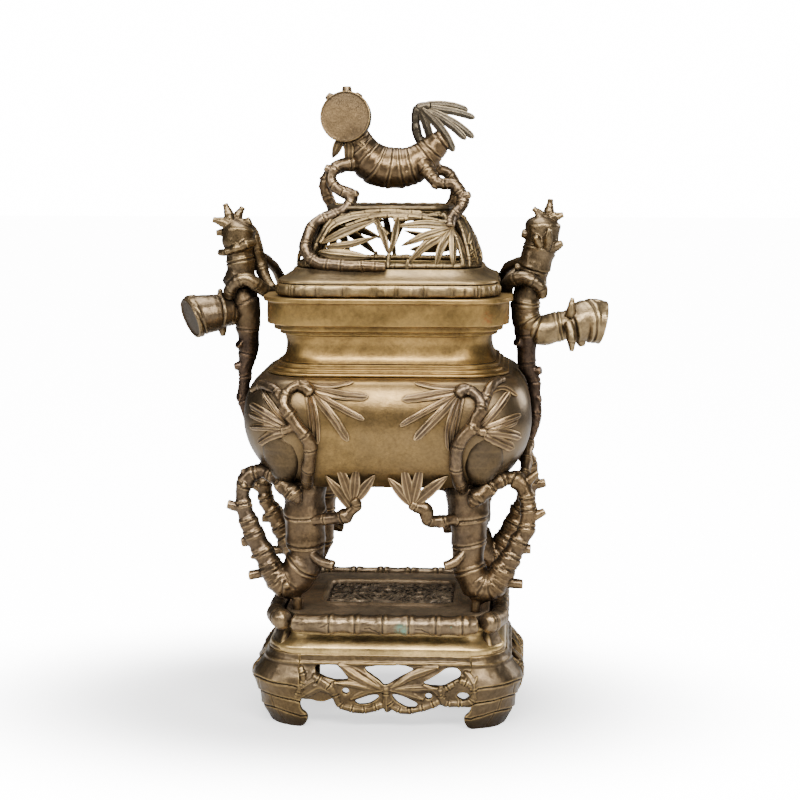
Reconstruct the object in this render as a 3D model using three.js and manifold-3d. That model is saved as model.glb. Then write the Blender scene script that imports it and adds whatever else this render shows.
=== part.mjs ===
// Bamboo-form bronze incense burner on its stand. Millimetres, +Z up, +X right, +Y back,
// origin on the ground under the middle of the stand.
import * as THREE from 'three';
import { mergeVertices } from 'three/addons/utils/BufferGeometryUtils.js';
import Module from 'manifold-3d';

// ---- driving dimensions (mm) ----
const SHIFT_X = -2.65;        // puts the origin under the middle of the overall width
const GAP = 0.3;              // clearance between neighbouring pieces
const RIM_HW = 82.7, RIM_HD = 75.4, RIM_R = 30, RIM_Z = 80, RIM_T = 6.5;   // bamboo rail round the stand
const PLATE_TOP = 84.4, PLATE_BOT = 76.5;
const SKIRT_TOP = 56.2, WALL = 5.5, FOOT_WALL = 8;
const PANEL = { hw: 47.5, hd: 35.5, r: 9, y: 3, depth: 2.6 };
const COLLAR_TOP = 315, LID_SEAT = 315.3;
const FOOT_X = 62.5, FOOT_Y = 41; // where the feet meet the aprons
// belly outline: z, half width, half depth, corner radius
const BELLY = [[177.7,78,60,30],[181.5,83,64,32],[187,89,69,34],[196,95.5,75.5,36],[208,101.5,81,38],[222,104.6,84,39],[236,104,83.2,39],[247,101,80,38],[255,96,75.5,36],[258.6,90.5,70.5,34]];
// dome outline: half width, half depth, corner radius, z
const DOME = [[67.5,50,26,335.2],[65,48,25,345],[61,44.5,24,358],[55,39,21,369],[47,32,18,375.5]];
// leaves of the pierced dome, seen from the front and from the side: [[sideways, z], ...], half width
const DOME_FRONT = [[[[-49.9,346.8],[-30.2,344.9],[-11.4,343.2]],3.38],[[[-44.8,350.4],[-26.7,352.6],[-7.3,357.7]],2.06],[[[-47.1,353.2],[-30.5,361.1],[-14.2,367.1],[-7.8,369.5]],2.62],[[[-48.7,355.2],[-41.6,365.2],[-31.7,370.8],[-16.8,373.6],[1.2,375.0]],2.62],[[[-8.6,370.9],[-2.3,357.0],[1.5,344.3]],2.06],[[[7.3,370.9],[4.9,355.6],[1.5,344.3]],2.06],[[[46.3,365.3],[26.9,366.8],[6.1,365.4]],2.62],[[[46.3,364.0],[27.1,358.5],[10.0,351.4]],2.44],[[[46.3,363.3],[29.4,353.5],[14.5,339.4]],2.81],[[[46.3,363.3],[38.7,350.1],[34.6,336.0]],2.44],[[[46.3,364.0],[47.3,350.0],[47.5,336.0]],2.44],[[[46.3,364.0],[52.2,352.0],[57.3,341.3]],2.44],[[[50.1,372.5],[57.5,363.4],[62.1,347.8],[65.0,337.8]],3.0],[[[15.2,341.5],[14.5,335.2]],1.69]];
const DOME_SIDE = [[[[-40,340],[-20,343.5],[2,343]],3.2],[[[-39,345],[-22,352],[-3,357]],2.8],[[[-36,352],[-22,362],[-6,370.5]],2.8],[[[33,362],[16,361],[0,355]],3.0],[[[34,360],[20,351],[8,341]],3.0],[[[35,358],[28,348],[22,336.5]],2.8],[[[32,364],[18,370],[2,371.5]],2.6],[[[4,343],[0,352],[-2,362],[-1,373]],1.8]];
// apron in front elevation: lower edge from left to right, and its openings
const EDGE_LOW = [[-60.9,22.8],[-50.0,21.1],[-44.1,21.2],[-36.8,23.2],[-32.4,16.5],[-14.9,12.7],[-1.1,16.4],[1.1,13.0],[5.5,15.7],[15.7,11.8],[32.4,15.8],[38.9,20.5],[42.5,18.7],[53.4,18.5]];
const OPENINGS = [[[-51.3,46.2],[-49.8,48.5],[-46.1,50.1],[-40.3,50.2],[-36.7,49.5],[-29.4,42.9],[-26.9,38.8],[-36.7,38.2],[-47.6,41.8],[-50.5,44.0]],[[-14.8,46.8],[-11.2,48.0],[1.1,49.0],[13.5,48.8],[22.9,45.6],[10.6,40.6],[1.5,35.2],[-1.1,35.1],[-4.0,38.1],[-13.4,44.6]],[[-26.2,29.8],[-26.9,27.9],[-28.7,27.1],[-30.5,27.9],[-31.3,29.7],[-30.5,31.6],[-28.7,32.4],[-26.9,31.6]],[[-22.2,21.6],[-14.9,25.5],[-10.5,26.7],[-5.4,27.2],[-4.3,26.1],[-5.4,23.8],[-12.0,19.9],[-19.3,19.4]],[[4.8,27.7],[7.7,27.8],[12.8,26.4],[22.9,21.3],[23.7,19.8],[22.2,17.5],[16.4,17.4],[11.3,19.6],[6.9,23.3]],[[34.2,26.8],[33.5,24.8],[31.6,24.0],[29.8,24.8],[29.0,26.7],[29.8,28.6],[31.6,29.4],[33.5,28.6]],[[28.0,37.1],[43.9,47.1],[48.2,47.9],[52.6,47.3],[54.8,44.3],[54.0,41.3],[44.7,35.9],[38.9,34.7],[31.6,35.3]],[[51.9,27.1],[54.1,29.7],[57.0,30.3],[59.9,29.1],[61.4,26.9],[59.2,24.6],[57.0,23.8],[54.1,24.9]]];
// limbs: k 't' round bamboo [x,y,z,radius], k 'l' leaf [x,y,z,half width] with thickness t and facing n
const LIMBS = {
  leg_front_left: [
    {"k":"t","p":[[-60.9,-48.0,182.6,12.75],[-60.2,-48.0,175.9,15.0],[-60.4,-48.0,153.6,15.0],[-60.0,-48.0,135.6,14.1],[-59.1,-48.0,125.9,12.6],[-65.1,-48.0,110.7,14.62],[-68.1,-48.0,103.9,14.62],[-68.9,-48.0,97.9,9.75]],"s":9},
    {"k":"t","p":[[-67.0,-51.0,103.1,5.25],[-66.1,-51.0,83.4,3.75]],"s":7},
    {"k":"t","p":[[-54.4,-57.0,127.2,5.25],[-45.8,-63.0,122.7,4.12],[-37.5,-66.0,120.9,3.0]],"s":6},
    {"k":"t","p":[[-72.4,-56.0,98.3,5.25],[-81.3,-62.0,92.9,3.0]],"s":6},
  ],
  leg_branch_front_left: [
    {"k":"t","p":[[-74.6,-50.0,101.3,10.12],[-83.4,-50.0,111.7,9.0],[-94.2,-50.0,132.6,7.5],[-99.3,-50.0,143.8,7.12],[-104.3,-50.0,157.9,6.0],[-105.9,-50.0,171.3,5.4],[-101.8,-50.0,182.5,6.38],[-96.6,-50.0,185.9,5.25],[-90.7,-50.0,187.1,5.25],[-81.2,-50.0,184.2,5.25],[-71.0,-50.0,175.4,6.0]],"s":7},
    {"k":"t","p":[[-103.1,-51.0,182.7,4.5],[-104.8,-51.0,188.9,1.88]],"s":4},
    {"k":"t","p":[[-105.8,-50.0,159.4,3.75],[-117.2,-50.0,162.3,3.0]],"s":4},
    {"k":"t","p":[[-96.4,-50.0,135.6,3.75],[-107.2,-50.0,133.9,3.0]],"s":4},
    {"k":"t","p":[[-89.3,-50.0,111.6,4.5],[-101.9,-50.0,109.2,3.0]],"s":6},
    {"k":"t","p":[[-80.7,-54.0,186.5,3.38],[-79.9,-54.0,189.7,3.15],[-74.7,-54.0,196.1,1.88]],"s":4},
  ],
  leg_twig_front_left: [
    {"k":"t","p":[[-57.5,-54.0,151.1,4.5],[-50.3,-60.0,153.2,4.12],[-35.9,-66.0,156.1,4.5],[-29.2,-68.0,158.1,5.62],[-25.5,-69.0,161.2,4.12],[-20.3,-70.0,166.6,3.75],[-22.4,-71.0,171.2,3.75]],"s":6},
    {"k":"t","p":[[-28.4,-69.0,157.5,3.75],[-27.6,-70.0,153.4,2.25]],"s":4},
    {"k":"l","p":[[-22.8,-70.0,161.5,1.12],[-32.1,-70.0,174.4,3.03],[-42.9,-70.0,187.6,0.48]],"t":2.4,"n":[0,-1,0]},
    {"k":"l","p":[[-23.8,-71.0,169.0,1.18],[-28.8,-71.0,183.2,3.21],[-35.2,-71.0,197.3,0.51]],"t":2.4,"n":[0,-1,0]},
    {"k":"l","p":[[-22.7,-71.5,170.6,1.12],[-21.6,-71.5,183.1,3.03],[-20.2,-71.5,196.9,0.48]],"t":2.4,"n":[0,-1,0]},
    {"k":"l","p":[[-21.6,-71.0,169.0,1.18],[-14.8,-71.0,178.7,3.21],[-7.2,-71.0,188.9,0.51]],"t":2.4,"n":[0,-1,0]},
  ],
  leg_front_right: [
    {"k":"t","p":[[58.2,-48.0,181.7,12.75],[58.6,-48.0,172.8,15.38],[59.6,-48.0,120.0,11.4],[63.0,-48.0,109.5,11.62],[67.4,-48.0,99.8,11.25],[68.2,-48.0,93.1,7.88]],"s":9},
    {"k":"t","p":[[66.0,-51.0,97.5,5.25],[65.0,-51.0,83.9,3.6]],"s":7},
    {"k":"t","p":[[55.8,-57.0,129.4,4.88],[48.7,-62.0,123.1,3.75],[42.2,-64.0,121.2,3.0]],"s":6},
  ],
  leg_branch_front_right: [
    {"k":"t","p":[[72.6,-50.0,101.9,9.75],[78.4,-50.0,105.0,9.0],[82.7,-50.0,111.8,9.0],[101.4,-50.0,145.6,6.15],[102.6,-50.0,164.8,5.7],[100.4,-50.0,173.7,6.0],[96.7,-50.0,180.3,6.38],[89.4,-50.0,183.9,5.25],[80.7,-50.0,182.3,5.25],[72.1,-50.0,177.0,6.0],[64.8,-50.0,174.0,6.0]],"s":7},
    {"k":"t","p":[[103.5,-50.0,153.7,3.75],[115.0,-50.0,159.8,2.25]],"s":4},
    {"k":"t","p":[[94.9,-50.0,131.3,4.12],[105.1,-50.0,131.5,3.0]],"s":6},
    {"k":"t","p":[[87.1,-50.0,105.9,4.5],[99.5,-50.0,105.3,3.0]],"s":6},
    {"k":"t","p":[[99.6,-50.0,178.8,3.75],[109.6,-50.0,188.5,1.72]],"s":4},
    {"k":"t","p":[[80.8,-52.0,182.7,4.5],[80.0,-52.0,186.4,3.0]],"s":6},
    {"k":"t","p":[[99.6,-48.0,182.1,4.5],[101.8,-24.0,198.7,4.12],[104.7,-13.0,205.1,3.38]],"s":6},
  ],
  leg_twig_front_right: [
    {"k":"t","p":[[56.3,-54.0,152.5,4.5],[47.1,-60.0,154.4,4.12],[40.0,-64.0,154.0,4.5],[30.7,-67.0,155.6,4.35],[28.9,-68.0,163.2,5.62],[18.6,-70.0,167.8,3.75]],"s":6},
    {"k":"t","p":[[40.0,-65.0,153.9,3.75],[40.8,-66.0,149.7,2.25]],"s":4},
    {"k":"l","p":[[19.4,-71.0,166.6,1.18],[11.2,-71.0,176.6,3.21],[2.1,-71.0,186.8,0.51]],"t":2.4,"n":[0,-1,0]},
    {"k":"l","p":[[18.7,-71.5,167.4,1.18],[15.9,-71.5,181.8,3.21],[12.9,-71.5,197.2,0.51]],"t":2.4,"n":[0,-1,0]},
    {"k":"l","p":[[19.4,-71.5,167.4,1.18],[22.7,-71.5,182.0,3.21],[26.1,-71.5,198.1,0.51]],"t":2.4,"n":[0,-1,0]},
    {"k":"l","p":[[19.4,-71.0,166.6,1.31],[31.6,-71.0,177.6,3.56],[45.1,-71.0,188.7,0.56]],"t":2.4,"n":[0,-1,0]},
  ],
  corner_spray_front_left: [
    {"k":"t","p":[[-57.0,-63.6,178.9,4.5],[-54.8,-76.8,193.1,4.72],[-52.7,-82.3,203.5,4.65],[-52.3,-85.2,211.9,4.8],[-53.6,-86.2,216.4,4.95],[-57.0,-87.3,221.5,4.5],[-66.2,-86.7,234.2,4.2],[-69.9,-85.1,239.7,4.5],[-70.8,-83.4,244.4,4.2],[-68.9,-81.1,249.9,3.6],[-64.8,-79.6,253.3,3.45],[-57.8,-78.0,255.6,3.15],[-53.4,-79.1,254.7,3.0]],"s":5},
    {"k":"l","p":[[-52.8,-77.9,254.6,0.79],[-38.9,-78.4,253.6,2.14],[-22.4,-76.2,256.0,0.34]],"t":2.2,"n":[0,-1,0]},
    {"k":"l","p":[[-54.2,-79.0,252.5,1.25],[-34.5,-81.3,248.3,3.38],[-11.2,-82.2,246.6,0.53]],"t":2.2,"n":[0,-1,0]},
    {"k":"l","p":[[-51.1,-80.8,249.3,0.92],[-32.4,-84.2,240.1,2.49],[-13.9,-85.6,231.0,0.39]],"t":2.2,"n":[0,-1,0]},
    {"k":"l","p":[[-53.3,-80.1,250.6,1.25],[-40.0,-84.5,236.7,3.38],[-25.3,-84.7,215.7,0.53]],"t":2.2,"n":[0,-1,0]},
    {"k":"l","p":[[-53.3,-80.8,249.2,0.92],[-48.9,-85.0,233.2,2.49],[-47.4,-84.2,213.2,0.39]],"t":2.2,"n":[0,-1,0]},
    {"k":"t","p":[[-62.0,-86.7,227.1,4.12],[-70.6,-86.6,222.7,3.75]],"s":5},
    {"k":"l","p":[[-67.1,-85.9,225.5,0.85],[-80.4,-80.0,240.2,2.32],[-89.0,-69.2,249.5,0.37]],"t":2.2,"n":[0,-1,0]},
    {"k":"l","p":[[-68.6,-85.8,224.8,1.12],[-81.8,-81.3,232.1,3.03],[-97.4,-66.6,238.2,0.48]],"t":2.2,"n":[0,-1,0]},
    {"k":"l","p":[[-68.6,-86.0,221.9,1.25],[-79.1,-82.7,219.2,3.38],[-91.1,-72.6,211.6,0.53]],"t":2.2,"n":[0,-1,0]},
    {"k":"t","p":[[-72.3,-83.2,243.0,4.12],[-76.4,-78.3,250.1,3.75],[-82.0,-73.4,252.3,3.75],[-88.6,-67.0,252.8,3.6],[-96.7,-60.5,248.2,2.25]],"s":5},
    {"k":"t","p":[[-59.9,-78.5,253.9,4.12],[-55.5,-79.3,252.6,4.88],[-51.8,-81.1,249.3,4.5]],"s":5},
    {"k":"t","p":[[-63.5,-86.0,225.6,3.75],[-72.2,-85.6,222.6,4.5]],"s":5},
    {"k":"t","p":[[-72.0,-74.9,223.7,3.75],[-74.4,-73.6,218.4,10.5],[-74.0,-71.6,210.1,14.25],[-73.1,-67.6,201.4,15.0],[-73.3,-60.5,192.1,12.0],[-74.6,-43.9,181.0,5.25]],"s":7},
  ],
  corner_spray_front_right: [
    {"k":"t","p":[[55.0,-62.7,177.8,4.65],[51.7,-74.7,190.2,4.72],[51.1,-81.1,200.7,4.72],[51.9,-84.8,210.0,4.72],[54.7,-86.4,217.5,4.95],[58.9,-87.4,222.6,4.65],[63.1,-87.1,226.9,4.65],[65.2,-86.8,233.3,4.35],[68.7,-85.6,238.8,4.5],[68.6,-83.9,244.3,4.35],[66.4,-82.5,248.3,3.9],[62.2,-80.8,251.6,3.6],[53.0,-79.7,253.5,3.0]],"s":5},
    {"k":"l","p":[[55.1,-78.9,252.7,0.83],[39.0,-78.7,253.1,2.24],[21.7,-76.6,255.7,0.35]],"t":2.2,"n":[0,-1,0]},
    {"k":"l","p":[[54.4,-79.6,251.4,1.25],[34.0,-81.6,247.8,3.38],[12.9,-82.7,245.0,0.53]],"t":2.2,"n":[0,-1,0]},
    {"k":"l","p":[[53.7,-80.8,249.4,0.92],[32.8,-84.3,238.9,2.49],[11.6,-85.8,226.9,0.39]],"t":2.2,"n":[0,-1,0]},
    {"k":"l","p":[[54.4,-80.4,250.1,1.25],[39.1,-84.8,234.9,3.38],[21.5,-85.0,216.9,0.53]],"t":2.2,"n":[0,-1,0]},
    {"k":"l","p":[[54.4,-81.1,248.7,0.98],[47.4,-85.5,230.1,2.67],[46.2,-83.5,209.7,0.42]],"t":2.2,"n":[0,-1,0]},
    {"k":"t","p":[[63.1,-86.7,226.9,4.12],[70.2,-86.7,222.6,3.75]],"s":5},
    {"k":"l","p":[[66.7,-86.0,223.9,1.12],[77.2,-82.5,235.4,3.03],[88.9,-70.0,248.9,0.48]],"t":2.2,"n":[0,-1,0]},
    {"k":"l","p":[[68.1,-85.9,223.2,1.25],[83.3,-81.1,222.1,3.38],[97.0,-67.8,217.0,0.53]],"t":2.2,"n":[0,-1,0]},
    {"k":"l","p":[[69.5,-85.9,222.5,1.38],[80.2,-81.6,217.0,3.74],[92.1,-70.7,209.5,0.59]],"t":2.2,"n":[0,-1,0]},
    {"k":"t","p":[[69.3,-83.8,242.8,4.12],[74.8,-76.6,253.3,3.75],[78.9,-69.6,256.6,3.45],[83.8,-62.0,257.8,2.25]],"s":5},
    {"k":"t","p":[[59.3,-79.2,252.8,4.12],[55.8,-79.5,252.1,4.88],[52.3,-81.4,248.8,4.5]],"s":5},
    {"k":"t","p":[[63.8,-86.0,226.0,3.75],[72.3,-85.6,222.5,4.5]],"s":5},
    {"k":"t","p":[[71.4,-74.9,224.4,3.75],[71.4,-73.9,217.0,10.5],[70.8,-71.8,208.0,14.25],[69.3,-67.0,198.4,15.0],[67.8,-60.8,190.0,11.25],[66.3,-50.5,180.8,5.25]],"s":7},
  ],
  handle_left_post: [
    {"k":"t","p":[[-113.2,0.0,318.2,9.75],[-113.2,0.0,322.0,12.38],[-112.3,0.0,332.4,10.5],[-113.6,0.0,346.6,10.35],[-113.9,0.0,352.5,12.0],[-113.5,0.0,357.7,12.23],[-113.1,0.0,362.2,11.25],[-112.6,0.0,366.3,7.5]],"s":9},
    {"k":"t","p":[[-119.1,-2.0,363.8,4.5],[-123.5,-2.0,379.7,1.35]],"s":4},
    {"k":"t","p":[[-116.0,2.0,362.8,4.5],[-115.1,2.0,369.5,3.3],[-110.5,2.0,376.9,1.35]],"s":4},
    {"k":"t","p":[[-119.6,-4.0,362.4,4.5],[-125.5,-4.0,366.1,3.3],[-132.2,-4.0,367.9,1.35]],"s":4},
    {"k":"t","p":[[-120.5,2.0,356.1,4.5],[-130.7,2.0,357.6,1.65]],"s":4},
    {"k":"t","p":[[-107.7,-3.0,364.6,4.5],[-104.0,-3.0,366.4,3.45]],"s":6},
    {"k":"t","p":[[-117.9,-2.0,343.0,4.12],[-127.2,-2.0,344.1,2.85]],"s":6},
    {"k":"t","p":[[-114.5,-9.0,348.6,3.75],[-114.0,-12.5,348.8,2.7]],"s":4},
    {"k":"t","p":[[-108.6,-9.0,350.1,3.75],[-107.9,-13.5,350.4,2.55]],"s":4},
    {"k":"t","p":[[-104.7,-5.0,349.2,3.75],[-101.9,-9.0,349.4,2.7]],"s":4},
  ],
  handle_left_branch: [
    {"k":"t","p":[[-115.4,-2.0,296.7,7.5],[-124.4,-7.0,299.0,11.4],[-129.4,-9.0,299.1,12.75],[-139.3,-13.0,298.0,14.85],[-148.4,-17.0,295.3,15.45]],"s":11},
    {"k":"t","p":[[-125.7,-8.0,303.9,4.5],[-126.9,-9.0,316.7,1.35]],"s":4},
    {"k":"t","p":[[-123.1,-6.0,302.2,4.5],[-119.2,-8.0,308.7,1.5]],"s":4},
    {"k":"t","p":[[-123.8,-7.0,294.1,4.5],[-116.0,-12.0,295.4,2.25]],"s":4},
    {"k":"t","p":[[-126.0,-7.0,291.8,4.5],[-125.4,-7.0,281.3,1.5]],"s":4},
    {"k":"t","p":[[-147.8,-15.0,307.4,4.5],[-148.4,-15.0,312.6,3.15]],"s":6},
  ],
  handle_left_stem: [
    {"k":"t","p":[[-111.7,0.0,316.7,9.75],[-108.1,0.0,301.0,10.12],[-107.5,0.0,293.5,9.38],[-106.9,0.0,274.7,7.65],[-110.2,0.0,255.7,5.4],[-111.6,0.0,233.7,4.5],[-109.8,0.0,223.8,3.75],[-103.9,0.0,203.2,3.0]],"s":7},
    {"k":"t","p":[[-110.2,0.0,257.2,4.5],[-118.0,-3.0,257.6,2.25]],"s":4},
    {"k":"t","p":[[-111.6,0.0,234.5,4.12],[-115.3,-3.0,234.9,2.62]],"s":4},
    {"k":"t","p":[[-111.1,-3.0,273.5,4.5],[-114.4,-6.0,276.0,3.0]],"s":6},
  ],
  handle_left_arm: [
    {"k":"t","p":[[-120.1,-10.0,310.8,3.75],[-118.1,-13.0,317.8,4.12],[-112.5,-15.0,323.2,4.35],[-105.8,-15.0,324.7,4.5],[-88.7,-4.0,313.1,4.12]],"s":6},
    {"k":"t","p":[[-107.1,8.0,361.1,3.38],[-105.1,10.0,358.7,3.6],[-98.7,12.0,342.9,3.6],[-93.0,7.0,325.3,3.9],[-89.7,-2.0,314.0,3.75]],"s":6},
    {"k":"t","p":[[-98.0,12.0,339.1,3.45],[-91.0,34.0,329.3,3.3],[-88.5,44.0,321.7,3.45],[-87.7,50.0,314.2,3.6]],"s":6},
  ],
  handle_right_post: [
    {"k":"t","p":[[101.6,0.0,314.1,9.38],[102.3,0.0,318.5,10.88],[104.4,0.0,324.5,10.8],[107.6,0.0,340.0,12.15],[110.1,0.0,347.4,11.7],[111.2,0.0,353.3,12.45],[111.8,0.0,360.7,12.75],[112.1,0.0,366.2,11.7],[112.4,0.0,370.2,7.5]],"s":9},
    {"k":"t","p":[[115.1,2.0,367.2,4.5],[117.6,2.0,383.6,1.35]],"s":4},
    {"k":"t","p":[[111.3,-3.0,366.7,4.5],[109.1,-4.0,372.6,3.0],[104.6,-4.0,377.0,1.5]],"s":4},
    {"k":"t","p":[[117.2,-2.0,367.4,4.5],[127.1,-2.0,372.2,1.5]],"s":4},
    {"k":"t","p":[[102.6,-2.0,357.1,4.12],[96.4,-2.0,358.5,2.55]],"s":4},
    {"k":"t","p":[[114.7,-9.0,348.7,4.5],[115.7,-14.0,355.6,3.0],[116.7,-16.0,362.6,1.35]],"s":4},
    {"k":"t","p":[[109.9,-10.0,350.2,3.75],[106.2,-14.0,357.0,1.95]],"s":4},
    {"k":"t","p":[[118.1,-6.0,347.1,4.5],[126.4,-8.0,351.6,1.95]],"s":4},
    {"k":"t","p":[[95.5,-2.0,332.7,3.75],[91.8,-2.0,332.7,2.62]],"s":4},
  ],
  handle_right_branch: [
    {"k":"t","p":[[104.8,0.0,291.0,9.9],[108.5,0.0,287.7,10.5],[114.5,0.5,286.5,11.4],[130.7,2.0,290.2,10.95],[139.6,3.0,291.7,14.1],[144.1,4.0,293.8,15.0],[157.5,6.0,291.7,16.65]],"s":11},
    {"k":"t","p":[[132.6,-6.0,297.7,4.5],[133.3,-8.0,302.4,3.0],[134.1,-9.0,311.7,1.35]],"s":4},
    {"k":"t","p":[[131.0,-12.0,293.9,4.5],[133.3,-15.0,285.3,3.75],[133.9,-16.0,272.5,1.5]],"s":4},
    {"k":"t","p":[[153.5,3.0,305.2,4.5],[154.0,3.0,309.3,3.3]],"s":6},
    {"k":"t","p":[[140.4,0.0,280.8,4.5],[142.0,0.0,274.8,1.88]],"s":4},
  ],
  handle_right_stem: [
    {"k":"t","p":[[99.4,0.0,311.1,9.38],[99.5,0.0,298.4,9.9],[100.7,0.0,290.2,9.38],[101.3,0.0,261.8,6.6],[106.7,0.0,247.6,4.65],[108.4,0.0,228.7,4.35],[107.7,0.0,218.2,4.2],[104.8,0.0,208.3,3.9],[99.7,0.0,199.1,3.45]],"s":7},
    {"k":"t","p":[[105.1,0.0,255.8,4.5],[111.8,-3.0,257.0,2.55]],"s":6},
    {"k":"t","p":[[96.7,-3.0,276.4,4.5],[93.0,-6.0,278.9,3.0]],"s":6},
    {"k":"t","p":[[106.1,0.0,234.0,3.75],[112.0,-2.0,235.8,2.55]],"s":4},
  ],
  handle_right_arm: [
    {"k":"t","p":[[111.8,-12.0,312.9,3.75],[110.9,-15.0,319.1,4.12],[105.8,-16.0,323.5,4.35],[98.4,-15.0,326.4,4.5],[90.4,-11.0,324.5,4.35],[86.0,-6.0,320.4,4.35],[85.7,-3.0,315.7,4.12]],"s":6},
    {"k":"t","p":[[97.7,8.0,336.5,3.45],[86.6,28.0,331.3,3.38],[84.1,40.8,325.8,3.45],[80.7,50.5,318.3,3.6]],"s":6},
    {"k":"t","p":[[101.5,8.0,332.0,3.6],[94.1,5.0,329.2,3.6],[85.2,-3.0,319.4,3.6]],"s":6},
  ],
  finial_body: [
    {"k":"t","p":[[-22.1,-10.0,446.7,6.0],[-26.6,-9.0,440.9,8.62],[-28.2,-7.0,434.4,9.38],[-24.8,-4.0,425.7,11.25],[-19.1,-2.0,415.4,13.73],[-10.4,0.0,408.1,15.23],[1.4,0.0,405.9,14.85],[12.5,0.0,407.0,14.25],[21.3,0.0,411.8,12.75],[34.5,0.0,423.8,9.3],[38.9,0.0,426.8,7.5]],"s":12},
  ],
  finial_head: [
    {"k":"t","p":[[-32.2,-20.5,443.6,18.6],[-31.4,-12.0,442.7,17.7],[-29.6,-7.5,441.3,12.0]],"s":18},
    {"k":"t","p":[[-30.8,-14.0,458.9,4.12],[-31.3,-14.0,465.2,2.7]],"s":6},
    {"k":"t","p":[[-41.4,-14.0,455.3,3.75],[-45.8,-14.0,458.9,2.25]],"s":4},
    {"k":"t","p":[[-24.1,-12.0,456.7,3.75],[-21.9,-12.0,460.0,2.1]],"s":4},
    {"k":"l","p":[[-35.7,-14.0,428.6,0.85],[-38.2,-14.0,422.1,2.32],[-42.0,-14.0,413.4,0.37]],"t":3,"n":[0,-1,0]},
    {"k":"l","p":[[-30.5,-15.0,427.2,0.85],[-30.0,-15.0,417.5,2.32],[-30.0,-15.0,406.2,0.37]],"t":3,"n":[0,-1,0]},
    {"k":"l","p":[[-26.9,-14.0,427.2,0.79],[-21.2,-14.0,421.9,2.14],[-14.5,-14.0,417.1,0.34]],"t":3,"n":[0,-1,0]},
  ],
  finial_tail_spray: [
    {"k":"t","p":[[34.5,0.0,424.9,4.5],[27.2,0.0,424.2,4.05],[21.3,0.0,426.4,3.75],[18.7,0.0,432.9,3.45],[19.1,0.0,447.5,3.6],[22.7,0.0,450.7,3.45],[28.6,0.0,451.4,3.0]],"s":6},
    {"k":"l","p":[[21.3,0.0,451.1,1.18],[38.0,0.0,451.5,3.21],[56.5,0.0,447.8,0.51]],"t":2.4,"n":[0,-1,0]},
    {"k":"l","p":[[22.8,-1.0,449.6,1.05],[41.5,-1.0,447.5,2.85],[61.6,-1.0,442.4,0.45]],"t":2.4,"n":[0,-1,0]},
    {"k":"l","p":[[22.8,-1.5,448.9,1.12],[41.9,-1.5,441.0,3.03],[61.0,-1.5,427.9,0.48]],"t":2.4,"n":[0,-1,0]},
    {"k":"l","p":[[22.1,-2.2,448.9,1.05],[39.0,-2.2,439.9,2.85],[55.2,-2.2,426.8,0.45]],"t":2.4,"n":[0,-1,0]},
    {"k":"l","p":[[22.1,-2.6,449.6,1.25],[35.2,-2.6,435.9,3.38],[46.3,-2.6,418.0,0.53]],"t":2.4,"n":[0,-1,0]},
    {"k":"l","p":[[21.4,-2.0,448.2,1.18],[26.4,-2.0,435.8,3.21],[29.5,-2.0,422.0,0.51]],"t":2.4,"n":[0,-1,0]},
  ],
  finial_foreleg_near: [
    {"k":"t","p":[[-25.3,-8.0,409.7,6.75],[-31.4,-14.0,409.1,5.25],[-37.0,-17.0,408.0,4.35],[-41.2,-19.0,404.1,4.2],[-42.6,-20.0,397.6,4.05],[-38.9,-21.0,392.2,4.05],[-27.8,-23.0,386.5,5.25],[-28.4,-25.0,381.1,4.05],[-33.2,-28.0,376.2,4.05],[-50.6,-37.0,368.6,3.9],[-55.3,-41.0,363.8,4.05],[-59.1,-47.0,349.7,4.35],[-55.3,-49.0,342.7,4.35],[-47.9,-51.0,338.9,4.35],[-1.1,-53.0,336.7,3.45]],"s":6},
    {"k":"t","p":[[-27.7,-24.0,386.9,3.75],[-22.4,-27.0,388.4,2.25]],"s":4},
    {"k":"t","p":[[-43.4,-19.0,404.8,3.38],[-47.0,-20.0,407.0,2.25]],"s":4},
    {"k":"t","p":[[-59.2,-46.0,353.3,3.38],[-62.6,-47.0,354.7,2.25]],"s":4},
  ],
  finial_hindleg_near: [
    {"k":"t","p":[[23.9,-8.0,409.7,6.75],[33.7,-15.0,396.9,4.5],[39.7,-17.0,394.8,4.2],[46.3,-19.0,394.8,4.35],[50.7,-20.0,390.5,4.35],[53.6,-21.0,384.8,4.8],[52.3,-24.0,378.4,4.05],[44.7,-34.0,368.7,3.9],[44.8,-38.0,364.6,3.75]],"s":6},
    {"k":"t","p":[[53.7,-22.0,385.5,3.75],[58.8,-24.0,387.8,2.25]],"s":4},
    {"k":"t","p":[[34.5,-15.0,396.1,3.38],[32.4,-17.0,391.8,2.25]],"s":4},
  ],
  finial_foreleg_far: [
    {"k":"t","p":[[-22.2,9.0,411.6,6.0],[-34.6,14.0,407.8,4.8],[-46.1,17.0,402.5,4.2],[-50.8,18.0,393.6,4.2],[-49.4,19.0,385.4,4.35],[-42.9,21.0,367.3,3.75]],"s":6},
    {"k":"t","p":[[-50.8,18.0,392.1,3.38],[-55.3,18.0,393.6,2.25]],"s":4},
  ],
  finial_hindleg_far: [
    {"k":"t","p":[[26.8,9.0,411.6,6.0],[33.3,14.0,404.9,4.65],[39.9,16.0,402.7,4.2],[45.1,17.0,397.5,4.2],[47.4,18.0,390.0,4.5],[40.6,21.0,369.8,3.75]],"s":6},
    {"k":"t","p":[[48.1,18.0,390.8,3.38],[52.6,18.0,392.3,2.25]],"s":4},
  ],
};

const wasm = await Module();
wasm.setup();

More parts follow.
